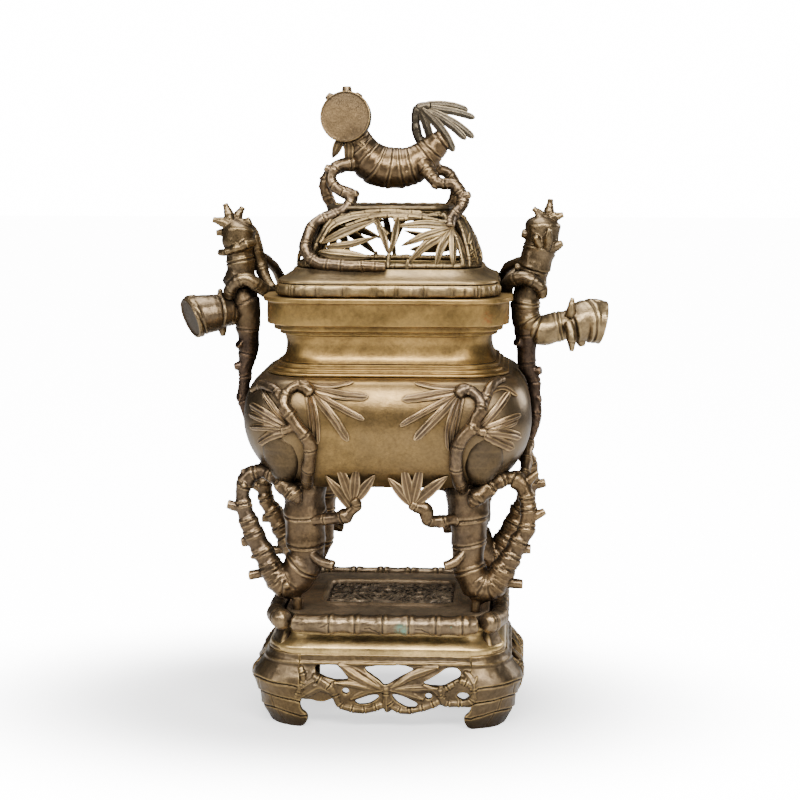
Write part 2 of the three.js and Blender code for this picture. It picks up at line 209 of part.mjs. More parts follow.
function solidFrom(geometry) {
  geometry.deleteAttribute('normal');
  geometry.deleteAttribute('uv');
  const g = mergeVertices(geometry, 1e-4);
  const p = g.attributes.position.array, ix = g.index.array, tri = [];
  for (let i = 0; i < ix.length; i += 3) {
    const [a, b, c] = [ix[i], ix[i + 1], ix[i + 2]];
    if (a !== b && b !== c && a !== c) tri.push(a, b, c);
  }
  let vol = 0;
  for (let i = 0; i < tri.length; i += 3) {
    const [a, b, c] = [tri[i] * 3, tri[i + 1] * 3, tri[i + 2] * 3];
    vol += p[a] * (p[b + 1] * p[c + 2] - p[b + 2] * p[c + 1]) - p[a + 1] * (p[b] * p[c + 2] - p[b + 2] * p[c]) + p[a + 2] * (p[b] * p[c + 1] - p[b + 1] * p[c]);
  }
  if (vol < 0) for (let i = 0; i < tri.length; i += 3) [tri[i], tri[i + 1]] = [tri[i + 1], tri[i]];
  return new wasm.Manifold(new wasm.Mesh({ numProp: 3, vertProperties: new Float32Array(p), triVerts: new Uint32Array(tri) }));
}

// point on a rounded rectangle, i of n (n a multiple of 4)
function rr(i, n, hw, hd, r) {
  const per = n / 4, q = Math.floor(i / per) % 4, f = (i % per) / (per - 1);
  r = Math.min(r, hw, hd);
  const a = (q + f) * Math.PI / 2;
  const cx = (q === 0 || q === 3 ? 1 : -1) * (hw - r), cy = (q < 2 ? 1 : -1) * (hd - r);
  return [cx + r * Math.cos(a), cy + r * Math.sin(a)];
}
// moulding with a rounded-rectangle plan: profile of [halfWidth, halfDepth, radius, z]
function moulding(profile, n = 24) {
  const g = new THREE.LatheGeometry(profile.map((q) => new THREE.Vector2(q[0], q[3])), n);
  const pos = g.attributes.position, m = profile.length;
  for (let i = 0; i <= n; i++) for (let j = 0; j < m; j++) {
    const [hw, hd, r, z] = profile[j];
    const [x, y] = hw === 0 ? [0, 0] : rr(i % n, n, hw, hd, r);
    pos.setXYZ(i * m + j, x, y, z);
  }
  return solidFrom(g);
}
// closed ring: outer profile going up, inner profile going down
function ring(outer, inner, n = 24) {
  const prof = outer.map((q) => [q[0], q[1], q[2], q[3]]).concat(inner.slice().reverse().map((q) => [q[0], q[1], q[2], q[3]]));
  prof.push(prof[0]);
  return moulding(prof, n);
}
function plate(outer, n = 24) {
  return moulding([[0, 0, 0, outer[0][3]], ...outer, [0, 0, 0, outer[outer.length - 1][3]]], n);
}
// sweep a cylinder along a path
function sweep(pts, sides, half, thick, normal) {
  const segs = pts.length - 1, g = new THREE.CylinderGeometry(1, 1, 1, sides, segs);
  const P = pts.map((q) => new THREE.Vector3(q[0], q[1], q[2]));
  const T = P.map((_, i) => P[Math.min(i + 1, segs)].clone().sub(P[Math.max(i - 1, 0)]).normalize());
  let ref = normal ? new THREE.Vector3(...normal) : (Math.abs(T[0].y) < 0.8 ? new THREE.Vector3(0, 1, 0) : new THREE.Vector3(1, 0, 0));
  const F = T.map((t) => {
    const nn = ref.clone().addScaledVector(t, -ref.dot(t)).normalize();
    if (!normal) ref = nn;
    return [nn, new THREE.Vector3().crossVectors(t, nn)];
  });
  const pos = g.attributes.position;
  for (let i = 0; i < pos.count; i++) {
    const x = pos.getX(i), z = pos.getZ(i), k = Math.round((0.5 - pos.getY(i)) * segs);
    const [nn, bb] = F[k], a = half[k], b = thick ? thick[k] : half[k];
    const v = P[k].clone().addScaledVector(nn, z * b).addScaledVector(bb, x * a);
    pos.setXYZ(i, v.x, v.y, v.z);
  }
  return solidFrom(g);
}
function limb(e, grow = 0) {
  if (e.k === 't') {
    const pts = e.p.map((q) => q.slice(0, 3));
    if (grow) extend(pts, grow);
    return sweep(pts, e.s, e.p.map((q) => q[3] + grow), null, null);
  }
  const pts = e.p.map((q) => q.slice(0, 3));
  if (grow) extend(pts, grow);
  const th = [0.6, 1, 0.5].map((k) => k * e.t / 2 + grow);
  return sweep(pts, 4, e.p.map((q) => q[3] + 0.35 + grow), th, e.n);
}
function extend(pts, d) {
  const n = pts.length;
  for (const [a, b] of [[0, 1], [n - 1, n - 2]]) {
    const v = new THREE.Vector3(...pts[a]).sub(new THREE.Vector3(...pts[b])).normalize().multiplyScalar(d);
    pts[a] = [pts[a][0] + v.x, pts[a][1] + v.y, pts[a][2] + v.z];
  }
}
const union = (list) => list.reduce((a, b) => a.add(b));
const limbs = (list, grow = 0) => union(list.map((e) => limb(e, grow)));
function box(x0, x1, y0, y1, z0, z1) {
  const g = new THREE.BoxGeometry(x1 - x0, y1 - y0, z1 - z0);
  g.translate((x0 + x1) / 2, (y0 + y1) / 2, (z0 + z1) / 2);
  return solidFrom(g);
}
function largest(m) {
  const parts = m.decompose();
  return parts.reduce((a, b) => (a.volume() >= b.volume() ? a : b));
}
// half turn about the vertical axis
const turned = (list) => list.map((e) => ({ ...e, p: e.p.map((q) => [-q[0], -q[1], q[2], q[3]]), n: e.n ? [-e.n[0], -e.n[1], e.n[2]] : undefined }));
// front elevation polygon pushed along Y
function prism(poly, y0, y1, turn = 0) {
  const s = new THREE.Shape(poly.map((q) => new THREE.Vector2(q[0], q[1])));
  const g = new THREE.ExtrudeGeometry(s, { depth: y1 - y0, bevelEnabled: false, curveSegments: 6 });
  g.rotateX(Math.PI / 2);
  g.translate(0, y1, 0);
  if (turn) g.rotateZ(turn);
  return solidFrom(g);
}

const SOLIDS = new Map();
const put = (name, m) => SOLIDS.set(name, m);

// ================= stand =================
const SKIRT = [[88, 67, 28, 0], [90.5, 69.5, 30, 5], [93, 71.5, 31, 10], [94.3, 73, 31, 16], [95.3, 73.8, 31, 22], [97.5, 75.5, 32, 28], [99.5, 77.2, 33, 34], [98.7, 76.6, 32, 39], [95.5, 75, 31, 43.5], [92, 73.6, 31, 48], [90, 73, 31, 52], [88.5, 72.5, 31, SKIRT_TOP]];
const inner = (w) => SKIRT.map((q) => [q[0] - w(q[3]), q[1] - w(q[3]), q[2] - w(q[3]), q[3]]);
const skirt = ring(SKIRT, inner(() => WALL));
const footSkirt = ring(SKIRT, inner((z) => (z < 12 ? FOOT_WALL : WALL)));
// hooked inner edge of a foot: [distance past the apron joint, z]
const HOOK = [[0, 80], [0, 16.5], [1.4, 13.5], [4.3, 10.6], [5.4, 8], [4.6, 4.5], [2.6, 1], [0, -1], [0, -5]];
const footCut = (edge, dir) => [[dir * 160, -5], [dir * 160, 80], ...HOOK.map((q) => [dir * (edge + GAP / 2 - q[0]), q[1]])];
for (const [nm, sx, sy] of [['front_left', -1, -1], ['front_right', 1, -1], ['back_left', -1, 1], ['back_right', 1, 1]]) {
  const a = prism(footCut(FOOT_X, sx), -160, 160);
  const b = sy > 0 ? prism(footCut(FOOT_Y, 1), -160, 160, Math.PI / 2) : prism(footCut(FOOT_Y, -1), -160, 160, Math.PI / 2);
  put('stand_foot_' + nm, largest(footSkirt.intersect(a).intersect(b)));
}
function apron(turn, squeeze) {
  const k = (poly) => poly.map((q) => [q[0] * squeeze, q[1]]);
  const w = FOOT_X - GAP / 2;
  let a = prism(k([[-w, 70], [-w, EDGE_LOW[0][1]], ...EDGE_LOW, [w, EDGE_LOW[EDGE_LOW.length - 1][1]], [w, 70]]), -120, -40, turn);
  for (const h of OPENINGS) a = a.subtract(prism(k(h), -130, -30, turn));
  return a;
}
const ks = (FOOT_Y - GAP / 2) / (FOOT_X - GAP / 2);
put('stand_apron_front', largest(skirt.intersect(apron(0, 1))));
put('stand_apron_back', largest(skirt.intersect(apron(Math.PI, 1))));
put('stand_apron_right', largest(skirt.intersect(apron(Math.PI / 2, ks))));
put('stand_apron_left', largest(skirt.intersect(apron(-Math.PI / 2, ks))));
const WAIST_IN = [68, 54, 24];
put('stand_waist', ring([[85.5, 70, 30, 56.5], [86.5, 71.8, 30, 58], [86.8, 72, 30, 60.2], [85, 70.5, 30, 63], [81.5, 67.5, 29, 66], [79.5, 66, 28, 69.5], [81, 67.5, 29, 73.5], [81, 67.5, 29, 76.2]], [[...WAIST_IN, 56.5], [...WAIST_IN, 76.2]]));
// top plate with a sunk field, and the carved panel in it
const slab = (hw, hd, r, cy, z0, z1) => plate([[hw, hd, r, z0], [hw, hd, r, z1]]).translate([0, cy, 0]);
put('stand_top_plate', slab(75.4, 68.2, 27, 0, PLATE_BOT, PLATE_TOP).subtract(slab(PANEL.hw, PANEL.hd, PANEL.r, PANEL.y, PLATE_TOP - PANEL.depth, PLATE_TOP + 5)));
put('stand_panel', slab(PANEL.hw - GAP, PANEL.hd - GAP, PANEL.r - GAP, PANEL.y, PLATE_TOP - PANEL.depth + GAP, PLATE_TOP - 0.5));
// bamboo rails round the plate: straight ones in front and behind, and side ones that
// take the corners with them, swell to a ball there and taper to the straight rails
const END = 22 * Math.PI / 180;
function railArc(cx, cy, a0, a1, n) {
  return Array.from({ length: n }, (_, i) => { const a = a0 + (a1 - a0) * i / (n - 1); return [cx + RIM_R * Math.cos(a), cy + RIM_R * Math.sin(a), RIM_Z]; });
}
function railFront(sy) {
  const cx = RIM_HW - RIM_R, cy = RIM_HD - RIM_R, a = END - 0.085;
  const pts = [...railArc(-cx, -cy, -Math.PI / 2 - a, -Math.PI / 2, 3), ...railArc(cx, -cy, -Math.PI / 2, -Math.PI / 2 + a, 3)];
  const mid = [[-17.5, -RIM_HD, RIM_Z], [17.5, -RIM_HD, RIM_Z]];
  const all = [...pts.slice(0, 3), ...mid, ...pts.slice(3)];
  return sweep(all.map((q) => [q[0], -sy * q[1], q[2]]), 8, all.map(() => RIM_T), null, [0, 0, 1]);
}
function railSide(sx) {
  const cx = RIM_HW - RIM_R, cy = RIM_HD - RIM_R, a = END + 0.085, q = Math.PI / 2;
  const pts = [...railArc(cx, -cy, -q + a, 0, 6), [RIM_HW, 0, RIM_Z], ...railArc(cx, cy, 0, q - a, 6)];
  const r = pts.map((_, i) => [4.8, 6.2, 7.3, RIM_T][Math.min(i, pts.length - 1 - i, 3)]);
  return sweep(pts.map((p) => [sx * p[0], p[1], p[2]]), 8, r, null, [0, 0, 1]);
}
const plateGrown = plate([[75.7, 68.5, 27.3, PLATE_BOT - GAP], [75.7, 68.5, 27.3, PLATE_TOP + GAP]]);
const waistGrown = plate([[81.3, 67.8, 29.3, 64], [81.3, 67.8, 29.3, 77]]);
for (const [nm, r] of [['back', railFront(1)], ['left', railSide(-1)], ['front', railFront(-1)], ['right', railSide(1)]]) put('stand_rail_' + nm, largest(r.subtract(plateGrown).subtract(waistGrown)));

// ================= burner body =================
const IN = (q, d) => [q[0] - d, q[1] - d, Math.max(q[2] - d, 4)];
const bo = BELLY.map((b) => [b[1], b[2], b[3], b[0]]);
const steps = [[88, 68, 34, 258.9], [88, 68, 34, 261.3], [84, 64.5, 32, 261.6], [84, 64.5, 32, 264], [81, 62, 31, 264.3], [81, 62, 31, 267.2]];
const NECK_IN = [70, 51, 27];
const bowlInner = BELLY.slice(1).filter((_, i) => i % 2 === 0).map((b) => [b[1] - 4.5, b[2] - 4.5, b[3] - 4.5, Math.max(b[0], 182.5)]);
const bowlProfile = [[0, 0, 0, 177.7], ...bo, ...bowlInner.slice().reverse(), [0, 0, 0, bowlInner[0][3]]];
const bowl = moulding(bowlProfile);
put('bowl', bowl);
put('shoulder', ring(steps, [[...NECK_IN, 258.9], [...NECK_IN, 267.2]]));
put('neck', ring([[78.5, 59.5, 30, 267.5], [76, 57, 30, 272], [75, 56, 30, 280.5], [76.5, 57.5, 30, 287.1]], [[...NECK_IN, 267.5], [...NECK_IN, 287.1]]));
const collarOut = [[79.5, 60.5, 31, 287.4], [79.5, 60.5, 31, 290.4], [83.5, 64.5, 32, 290.9], [83.5, 64.5, 32, 294.6], [88, 69, 34, 295.3], [88, 69, 34, 311.2], [90.5, 71.5, 35, 311.8], [90.5, 71.5, 35, COLLAR_TOP]];
put('collar', ring(collarOut, [[...NECK_IN, 287.4], [...NECK_IN, COLLAR_TOP]]));
// grown copies used only for cutting clearances
const grow = (prof, d) => plate(prof.map((q) => [q[0] + d, q[1] + d, q[2] + d, q[3]]));
const bowlCut = grow([[78, 60, 30, 177.4], ...bo.slice(1), ...steps.slice(0, -1), [81, 62, 31, 267.5]], GAP);
const collarCut = grow([[79.5, 60.5, 31, 287.1], ...collarOut.slice(1, -1), [90.5, 71.5, 35, COLLAR_TOP + GAP]], GAP);
const stepCut = plate([[90.8, 72, 34.5, 258], [90.8, 72, 34.5, 259], [88.5, 68.5, 34.3, 261.6], [84.5, 65, 32.3, 264.3], [81.5, 62.5, 31.3, 267.5]]);

const ALL = { ...LIMBS };
ALL.leg_back_right = turned(LIMBS.leg_front_left); ALL.leg_back_left = turned(LIMBS.leg_front_right);
ALL.leg_branch_back_right = turned(LIMBS.leg_branch_front_left); ALL.leg_branch_back_left = turned(LIMBS.leg_branch_front_right);
ALL.leg_twig_back_right = turned(LIMBS.leg_twig_front_left); ALL.leg_twig_back_left = turned(LIMBS.leg_twig_front_right);
ALL.corner_spray_back_right = turned(LIMBS.corner_spray_front_left); ALL.corner_spray_back_left = turned(LIMBS.corner_spray_front_right);
const grownCache = new Map();
const grown = (n) => { if (!grownCache.has(n)) grownCache.set(n, limbs(ALL[n], GAP)); return grownCache.get(n); };
// each limb gives way to the ones named after it
function fit(name, over, extra = []) {
  let m = limbs(ALL[name]);
  for (const o of over) m = m.subtract(grown(o));
  for (const x of extra) m = m.subtract(x);
  put(name, largest(m));
}
const underPlate = box(-150, 150, -150, 150, 60, PLATE_TOP + 0.2);
for (const c of ['front_left', 'front_right', 'back_left', 'back_right']) {
  fit('leg_' + c, [], [bowlCut, underPlate]);
  fit('leg_branch_' + c, ['leg_' + c], [bowlCut]);
  fit('leg_twig_' + c, ['leg_' + c, 'leg_branch_' + c], [bowlCut]);
  fit('corner_spray_' + c, ['leg_' + c, 'leg_branch_' + c, 'leg_twig_' + c], [bowlCut, stepCut]);
}
const lidPath = plate([[81.3, 67.3, 28, 314], [81.3, 67.3, 28, 500]]);   // the lid's way straight up
for (const s of ['left', 'right']) {
  const sprays = s === 'left' ? ['corner_spray_front_left', 'corner_spray_back_left', 'leg_branch_front_left', 'leg_branch_back_left'] : ['corner_spray_front_right', 'corner_spray_back_right', 'leg_branch_front_right', 'leg_branch_back_right'];
  fit('handle_' + s + '_post', []);
  fit('handle_' + s + '_stem', ['handle_' + s + '_post', ...sprays], [bowlCut, collarCut]);
  fit('handle_' + s + '_branch', ['handle_' + s + '_post', 'handle_' + s + '_stem'], []);
  fit('handle_' + s + '_arm', ['handle_' + s + '_post', 'handle_' + s + '_stem', 'handle_' + s + '_branch'], [collarCut, lidPath]);
}

// ================= lid =================
const BAND = [[78.5, 64.5, 27, LID_SEAT], [80.5, 66.5, 28, 317.5], [80.5, 66.5, 28, 322.5], [78.5, 64.5, 27, 324.7]];
put('lid_band', ring(BAND, [[63, 47, 24, LID_SEAT], [63, 47, 24, 324.7]]));
const DOME_IN = [58, 42, 22];
put('lid_slope', ring([[78, 64, 27, 325], [77, 62.5, 27, 328], [74.5, 59.5, 27, 331.8], [71, 55.5, 26, 334.2], [68.2, 51, 26, 334.9]], [[...DOME_IN, 325], [...DOME_IN, 334.9]]));
const lerp = (a, b, f) => a.map((v, i) => v + (b[i] - v) * f);
const domeOut = DOME.map((q) => q.slice());
const domeShell = ring(domeOut, domeOut.map((q) => [q[0] - 3.6, q[1] - 3.6, q[2] - 3.6, q[3]]));
const HALF = Math.atan2(38, 52);
function sector(turn, halfAngle) {
  const R = 140, g = GAP / 2;
  const poly = [[0, 0], [R * Math.cos(halfAngle), R * Math.sin(halfAngle)], [R * 1.6, 0], [R * Math.cos(halfAngle), -R * Math.sin(halfAngle)]];
  const s = new THREE.Shape(poly.map((q) => new THREE.Vector2(q[0] + g / Math.sin(halfAngle), q[1])));
  const e = new THREE.ExtrudeGeometry(s, { depth: 60, bevelEnabled: false });
  e.translate(0, 0, 325);
  e.rotateZ(turn);
  return solidFrom(e);
}
// outline of a leaf or twig lying along a path in elevation
function blade(path, half, twig) {
  const n = 5, L = [], R = [];
  for (let i = 0; i < n; i++) {
    const f = i / (n - 1), x = f * (path.length - 1), k = Math.min(Math.floor(x), path.length - 2), g = x - k;
    const a = path[k], b = path[k + 1];
    const p = [a[0] + (b[0] - a[0]) * g, a[1] + (b[1] - a[1]) * g];
    const d = Math.hypot(b[0] - a[0], b[1] - a[1]), nx = -(b[1] - a[1]) / d, ny = (b[0] - a[0]) / d;
    const w = twig ? half : Math.max(half * Math.sin(Math.PI * Math.min(0.16 + f * 0.84, 1)) ** 0.7, 0.5);
    L.push([p[0] + nx * w, p[1] + ny * w]); R.push([p[0] - nx * w, p[1] - ny * w]);
  }
  return [...L, ...R.reverse()];
}
// each side of the dome: a low and a high border, two edge posts and the fans of leaves between them
for (const [nm, turn, ha, leaves, post] of [['front', -Math.PI / 2, Math.PI / 2 - HALF, DOME_FRONT, [60.5, 56.5, 42.5, 38.5]], ['back', Math.PI / 2, Math.PI / 2 - HALF, DOME_FRONT, [60.5, 56.5, 42.5, 38.5]], ['left', Math.PI, HALF, DOME_SIDE, [43.7, 39.7, 28.5, 25]], ['right', 0, HALF, DOME_SIDE, [43.7, 39.7, 28.5, 25]]]) {
  const [b0, b1, t0, t1] = post, z0 = DOME[0][3] - 1, z1 = DOME[DOME.length - 1][3] + 1;
  let keep = prism([[-90, z0], [90, z0], [90, z0 + 3.4], [-90, z0 + 3.4]], -100, -4);
  keep = keep.add(prism([[-90, z1 - 4.2], [90, z1 - 4.2], [90, z1], [-90, z1]], -100, -4));
  for (const e of [1, -1]) keep = keep.add(prism([[e * (b0 + 3), z0], [e * b1, z0], [e * t1, z1], [e * (t0 + 4), z1]], -100, -4));
  for (const [path, half] of leaves) keep = keep.add(prism(blade(path, half, half < 1.95), -100, -4));
  const g = keep.rotate([0, 0, (turn + Math.PI / 2) * 180 / Math.PI]);
  put('dome_grille_' + nm, largest(domeShell.intersect(sector(turn, ha)).intersect(g)));
}
// openwork top: a frame with crossing leaves
const TOP_OUT = [47, 32, 18], TOP_IN = [40.5, 25.5, 12];
let top = ring([[...TOP_OUT, 375.8], [44.5, 29.5, 16, 379.2]], [[...TOP_IN, 375.8], [...TOP_IN, 379.2]]);
for (const [x0, y0, x1, y1, w] of [[-43,10,43,-6,2.2],[-30,-29,2,29,2.0],[30,-28,4,28,2.0],[-42,-8,8,27,1.8],[42,10,-6,-28,1.8]]) {
  const d = Math.hypot(x1 - x0, y1 - y0), g = new THREE.BoxGeometry(d, 2 * w, 3);
  g.rotateZ(Math.atan2(y1 - y0, x1 - x0)); g.translate((x0 + x1) / 2, (y0 + y1) / 2, 377.3);
  top = top.add(solidFrom(g));
}
put('dome_cap', largest(top));
const domeCut = plate([[68.5, 52, 26.3, 334], ...domeOut.map((q) => [q[0] + GAP, q[1] + GAP, q[2] + GAP, q[3]]), [47.4, 32.4, 18.3, 375.6], [47.4, 32.4, 18.3, 378.2], [44.8, 29.8, 16.3, 379.5]]);
const slopeCut = plate([[78.4, 64.4, 27.3, 324], [77.4, 62.9, 27.3, 328.2], [74.9, 59.9, 27.3, 332.1], [71.4, 55.9, 26.3, 334.5], [68.6, 51.4, 26.3, 335.2]]);
fit('finial_body', []);
fit('finial_head', ['finial_body']);
fit('finial_tail_spray', ['finial_body']);
for (const n of ['finial_foreleg_near', 'finial_hindleg_near', 'finial_foreleg_far', 'finial_hindleg_far']) fit(n, ['finial_body', 'finial_head'], [domeCut, slopeCut]);

// last clearances: where two pieces still touch, the later one gives way
{
  const names = [...SOLIDS.keys()];
  for (let i = 0; i < names.length; i++) for (let j = i + 1; j < names.length; j++) {
    const a = SOLIDS.get(names[i]), b = SOLIDS.get(names[j]);
    const A = a.boundingBox(), B = b.boundingBox();
    if (A.min.some((v, k) => v > B.max[k]) || B.min.some((v, k) => v > A.max[k])) continue;
    if (a.intersect(b).volume() < 0.003) continue;
    SOLIDS.set(names[j], largest(b.subtract(ALL[names[i]] ? grown(names[i]) : a)));
  }
}

// ================= output =================
const TONES = [[/^stand_(foot|apron)/, 0x4a4234, 0.5], [/^stand/, 0x5b4c2e, 0.42], [/^(bowl|shoulder|neck|collar)$/, 0x6d5a2c, 0.38], [/stem|arm/, 0x2e271c, 0.55], [/^finial/, 0x4d4636, 0.45], [/^(lid|dome)/, 0x54492f, 0.45], [/./, 0x5a5140, 0.46]];
const group = new THREE.Group();
group.name = 'incense_burner';
for (const [name, m] of SOLIDS) {
  const s = largest(m.simplify(/spray/.test(name) ? 0.32 : /^(leg|handle|finial|dome)/.test(name) ? 0.2 : 0.08));
  const mesh = s.getMesh();
  const np = mesh.numProp, n = mesh.vertProperties.length / np, arr = new Float32Array(n * 3);
  for (let i = 0; i < n; i++) for (let j = 0; j < 3; j++) arr[i * 3 + j] = mesh.vertProperties[i * np + j] + (j === 0 ? SHIFT_X : 0);
  const g = new THREE.BufferGeometry();
  g.setAttribute('position', new THREE.BufferAttribute(arr, 3));
  g.setIndex(new THREE.BufferAttribute(new Uint32Array(mesh.triVerts), 1));
  g.computeVertexNormals();
  const tone = TONES.find((t) => t[0].test(name));
  const obj = new THREE.Mesh(g, new THREE.MeshStandardMaterial({ color: tone[1], roughness: tone[2], metalness: 1 }));
  obj.name = name;
  group.add(obj);
}
export default group;
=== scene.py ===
import bpy, math, zlib
import numpy as np
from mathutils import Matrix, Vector


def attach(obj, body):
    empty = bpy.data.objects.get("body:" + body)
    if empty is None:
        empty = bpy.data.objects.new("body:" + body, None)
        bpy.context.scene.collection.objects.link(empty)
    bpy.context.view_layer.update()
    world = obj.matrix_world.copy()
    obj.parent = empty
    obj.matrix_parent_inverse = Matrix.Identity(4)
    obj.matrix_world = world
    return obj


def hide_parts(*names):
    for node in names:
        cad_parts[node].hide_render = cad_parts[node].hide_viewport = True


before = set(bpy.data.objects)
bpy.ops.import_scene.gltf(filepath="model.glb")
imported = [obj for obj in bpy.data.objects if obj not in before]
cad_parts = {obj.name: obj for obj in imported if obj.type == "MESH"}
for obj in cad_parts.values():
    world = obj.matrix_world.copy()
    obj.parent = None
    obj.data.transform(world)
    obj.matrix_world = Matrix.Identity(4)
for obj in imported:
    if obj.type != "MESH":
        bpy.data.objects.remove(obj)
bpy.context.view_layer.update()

SX = -2.65            # the stand's axis, left of the frame's origin (mm)
MM = 0.001
BELLY = [[177.7,78,60,30],[181.5,83,64,32],[187,89,69,34],[196,95.5,75.5,36],[208,101.5,81,38],[222,104.6,84,39],[236,104,83.2,39],[247,101,80,38],[255,96,75.5,36],[258.6,90.5,70.5,34]]
DOME = [[67.5,50,26,335.2],[65,48,25,345],[61,44.5,24,358],[55,39,21,369],[47,32,18,375.5]]
DOME_FRONT = [[[[-49.9,346.8],[-30.2,344.9],[-11.4,343.2]],3.38],[[[-44.8,350.4],[-26.7,352.6],[-7.3,357.7]],2.06],[[[-47.1,353.2],[-30.5,361.1],[-14.2,367.1],[-7.8,369.5]],2.62],[[[-48.7,355.2],[-41.6,365.2],[-31.7,370.8],[-16.8,373.6],[1.2,375.0]],2.62],[[[-8.6,370.9],[-2.3,357.0],[1.5,344.3]],2.06],[[[7.3,370.9],[4.9,355.6],[1.5,344.3]],2.06],[[[-12.2,370.9],[0.5,359.8]],1.5],[[[46.3,365.3],[26.9,366.8],[6.1,365.4]],2.62],[[[46.3,364.0],[27.1,358.5],[10.0,351.4]],2.44],[[[46.3,363.3],[29.4,353.5],[14.5,339.4]],2.81],[[[46.3,363.3],[38.7,350.1],[34.6,336.0]],2.44],[[[46.3,364.0],[47.3,350.0],[47.5,336.0]],2.44],[[[46.3,364.0],[52.2,352.0],[57.3,341.3]],2.44],[[[50.1,372.5],[57.5,363.4],[62.1,347.8],[65.0,337.8]],3.0],[[[1.5,345.7],[0.2,335.8]],1.88],[[[15.2,341.5],[14.5,335.2]],1.69]]
DOME_SIDE = [[[[-40,340],[-20,343.5],[2,343]],3.2],[[[-39,345],[-22,352],[-3,357]],2.8],[[[-36,352],[-22,362],[-6,370.5]],2.8],[[[33,362],[16,361],[0,355]],3.0],[[[34,360],[20,351],[8,341]],3.0],[[[35,358],[28,348],[22,336.5]],2.8],[[[32,364],[18,370],[2,371.5]],2.6],[[[4,343],[0,352],[-2,362],[-1,373]],1.8]]
EDGE_LOW = [[-60.9,22.8],[-55.1,22.5],[-50.0,21.1],[-44.1,21.2],[-39.0,23.2],[-36.8,23.2],[-34.6,19.5],[-32.4,16.5],[-25.1,15.2],[-19.3,14.1],[-14.9,12.7],[-10.6,13.9],[-4.7,15.5],[-1.1,16.4],[-0.4,14.1],[1.1,13.0],[3.3,13.8],[5.5,15.7],[8.4,14.7],[12.0,12.5],[15.7,11.8],[21.5,13.4],[27.3,14.2],[32.4,15.8],[36.0,18.2],[38.9,20.5],[42.5,18.7],[47.6,18.0],[53.4,18.5]]
OPENINGS = [[[-51.3,46.2],[-49.8,48.5],[-46.1,50.1],[-40.3,50.2],[-36.7,49.5],[-33.0,46.5],[-29.4,42.9],[-26.9,38.8],[-36.7,38.2],[-41.1,39.3],[-47.6,41.8],[-50.5,44.0]],[[-14.8,46.8],[-11.2,48.0],[1.1,49.0],[13.5,48.8],[18.5,47.4],[22.9,45.6],[17.1,43.3],[10.6,40.6],[5.5,37.5],[1.5,35.2],[-1.1,35.1],[-4.0,38.1],[-9.0,41.7],[-13.4,44.6]],[[-26.2,29.8],[-26.9,27.9],[-28.7,27.1],[-30.5,27.9],[-31.3,29.7],[-30.5,31.6],[-28.7,32.4],[-26.9,31.6]],[[-22.2,21.6],[-19.3,23.5],[-14.9,25.5],[-10.5,26.7],[-5.4,27.2],[-4.3,26.1],[-5.4,23.8],[-8.4,21.5],[-12.0,19.9],[-19.3,19.4]],[[4.8,27.7],[7.7,27.8],[12.8,26.4],[17.8,24.2],[22.9,21.3],[23.7,19.8],[22.2,17.5],[16.4,17.4],[11.3,19.6],[6.9,23.3]],[[34.2,26.8],[33.5,24.8],[31.6,24.0],[29.8,24.8],[29.0,26.7],[29.8,28.6],[31.6,29.4],[33.5,28.6]],[[28.0,37.1],[33.1,40.2],[39.6,44.0],[43.9,47.1],[48.2,47.9],[52.6,47.3],[54.8,44.3],[54.0,41.3],[49.7,38.3],[44.7,35.9],[38.9,34.7],[31.6,35.3]],[[51.9,27.1],[54.1,29.7],[57.0,30.3],[59.9,29.1],[61.4,26.9],[59.2,24.6],[57.0,23.8],[54.1,24.9]]]
RELIEF = {"canes":[[[[-52.0,41.0],[-44.8,36.6],[-38.9,32.2],[-36.8,27.0],[-33.2,18.8],[-26.6,15.9],[-14.9,14.6],[-2.5,18.6]],7],[[[-61.5,46.8],[-59.3,39.3],[-62.3,30.3],[-64.6,24.2]],6],[[[54.8,39.8],[60.6,37.7],[64.9,32.5],[63.5,25.0],[59.2,22.0],[46.2,21.0],[41.8,24.6],[40.3,32.1]],7],[[[49.7,36.8],[43.2,32.2],[41.8,26.9],[44.0,22.4]],6],[[[38.9,22.3],[31.7,18.5],[15.7,14.4],[6.2,17.2],[1.1,23.9]],6.5],[[[1.1,32.9],[0.8,28.4],[1.1,23.9]],6]],"leaves":[[[[-63.1,23.5],[-55.0,28.9],[-47.0,32.8],[-37.5,27.0]],8],[[[-60.8,31.8],[-54.2,36.4],[-48.4,39.5]],6],[[[-33.8,49.5],[-17.8,40.1],[-1.1,31.4]],8],[[[-36.7,36.7],[-19.2,34.8],[-1.1,29.9]],6],[[[-25.1,23.4],[-13.4,28.9],[-0.3,31.4]],5.5],[[[38.8,48.5],[20.7,43.0],[4.0,33.0]],8],[[[38.9,33.6],[20.7,32.5],[5.5,32.2]],6],[[[28.0,24.4],[13.5,29.4],[2.6,31.4]],6],[[[1.1,26.2],[1.1,20.2],[1.1,13.4]],7],[[[28.0,36.4],[35.2,32.0],[39.6,26.1]],5],[[[57.6,45.8],[62.0,41.5],[66.4,32.6]],6],[[[67.0,43.0],[64.9,35.5],[66.4,25.1]],5]]}
TOPBARS = [[-43,10,43,-6,2.2],[-30,-29,2,29,2.0],[30,-28,4,28,2.0],[-42,-8,8,27,1.8],[42,10,-6,-28,1.8]]
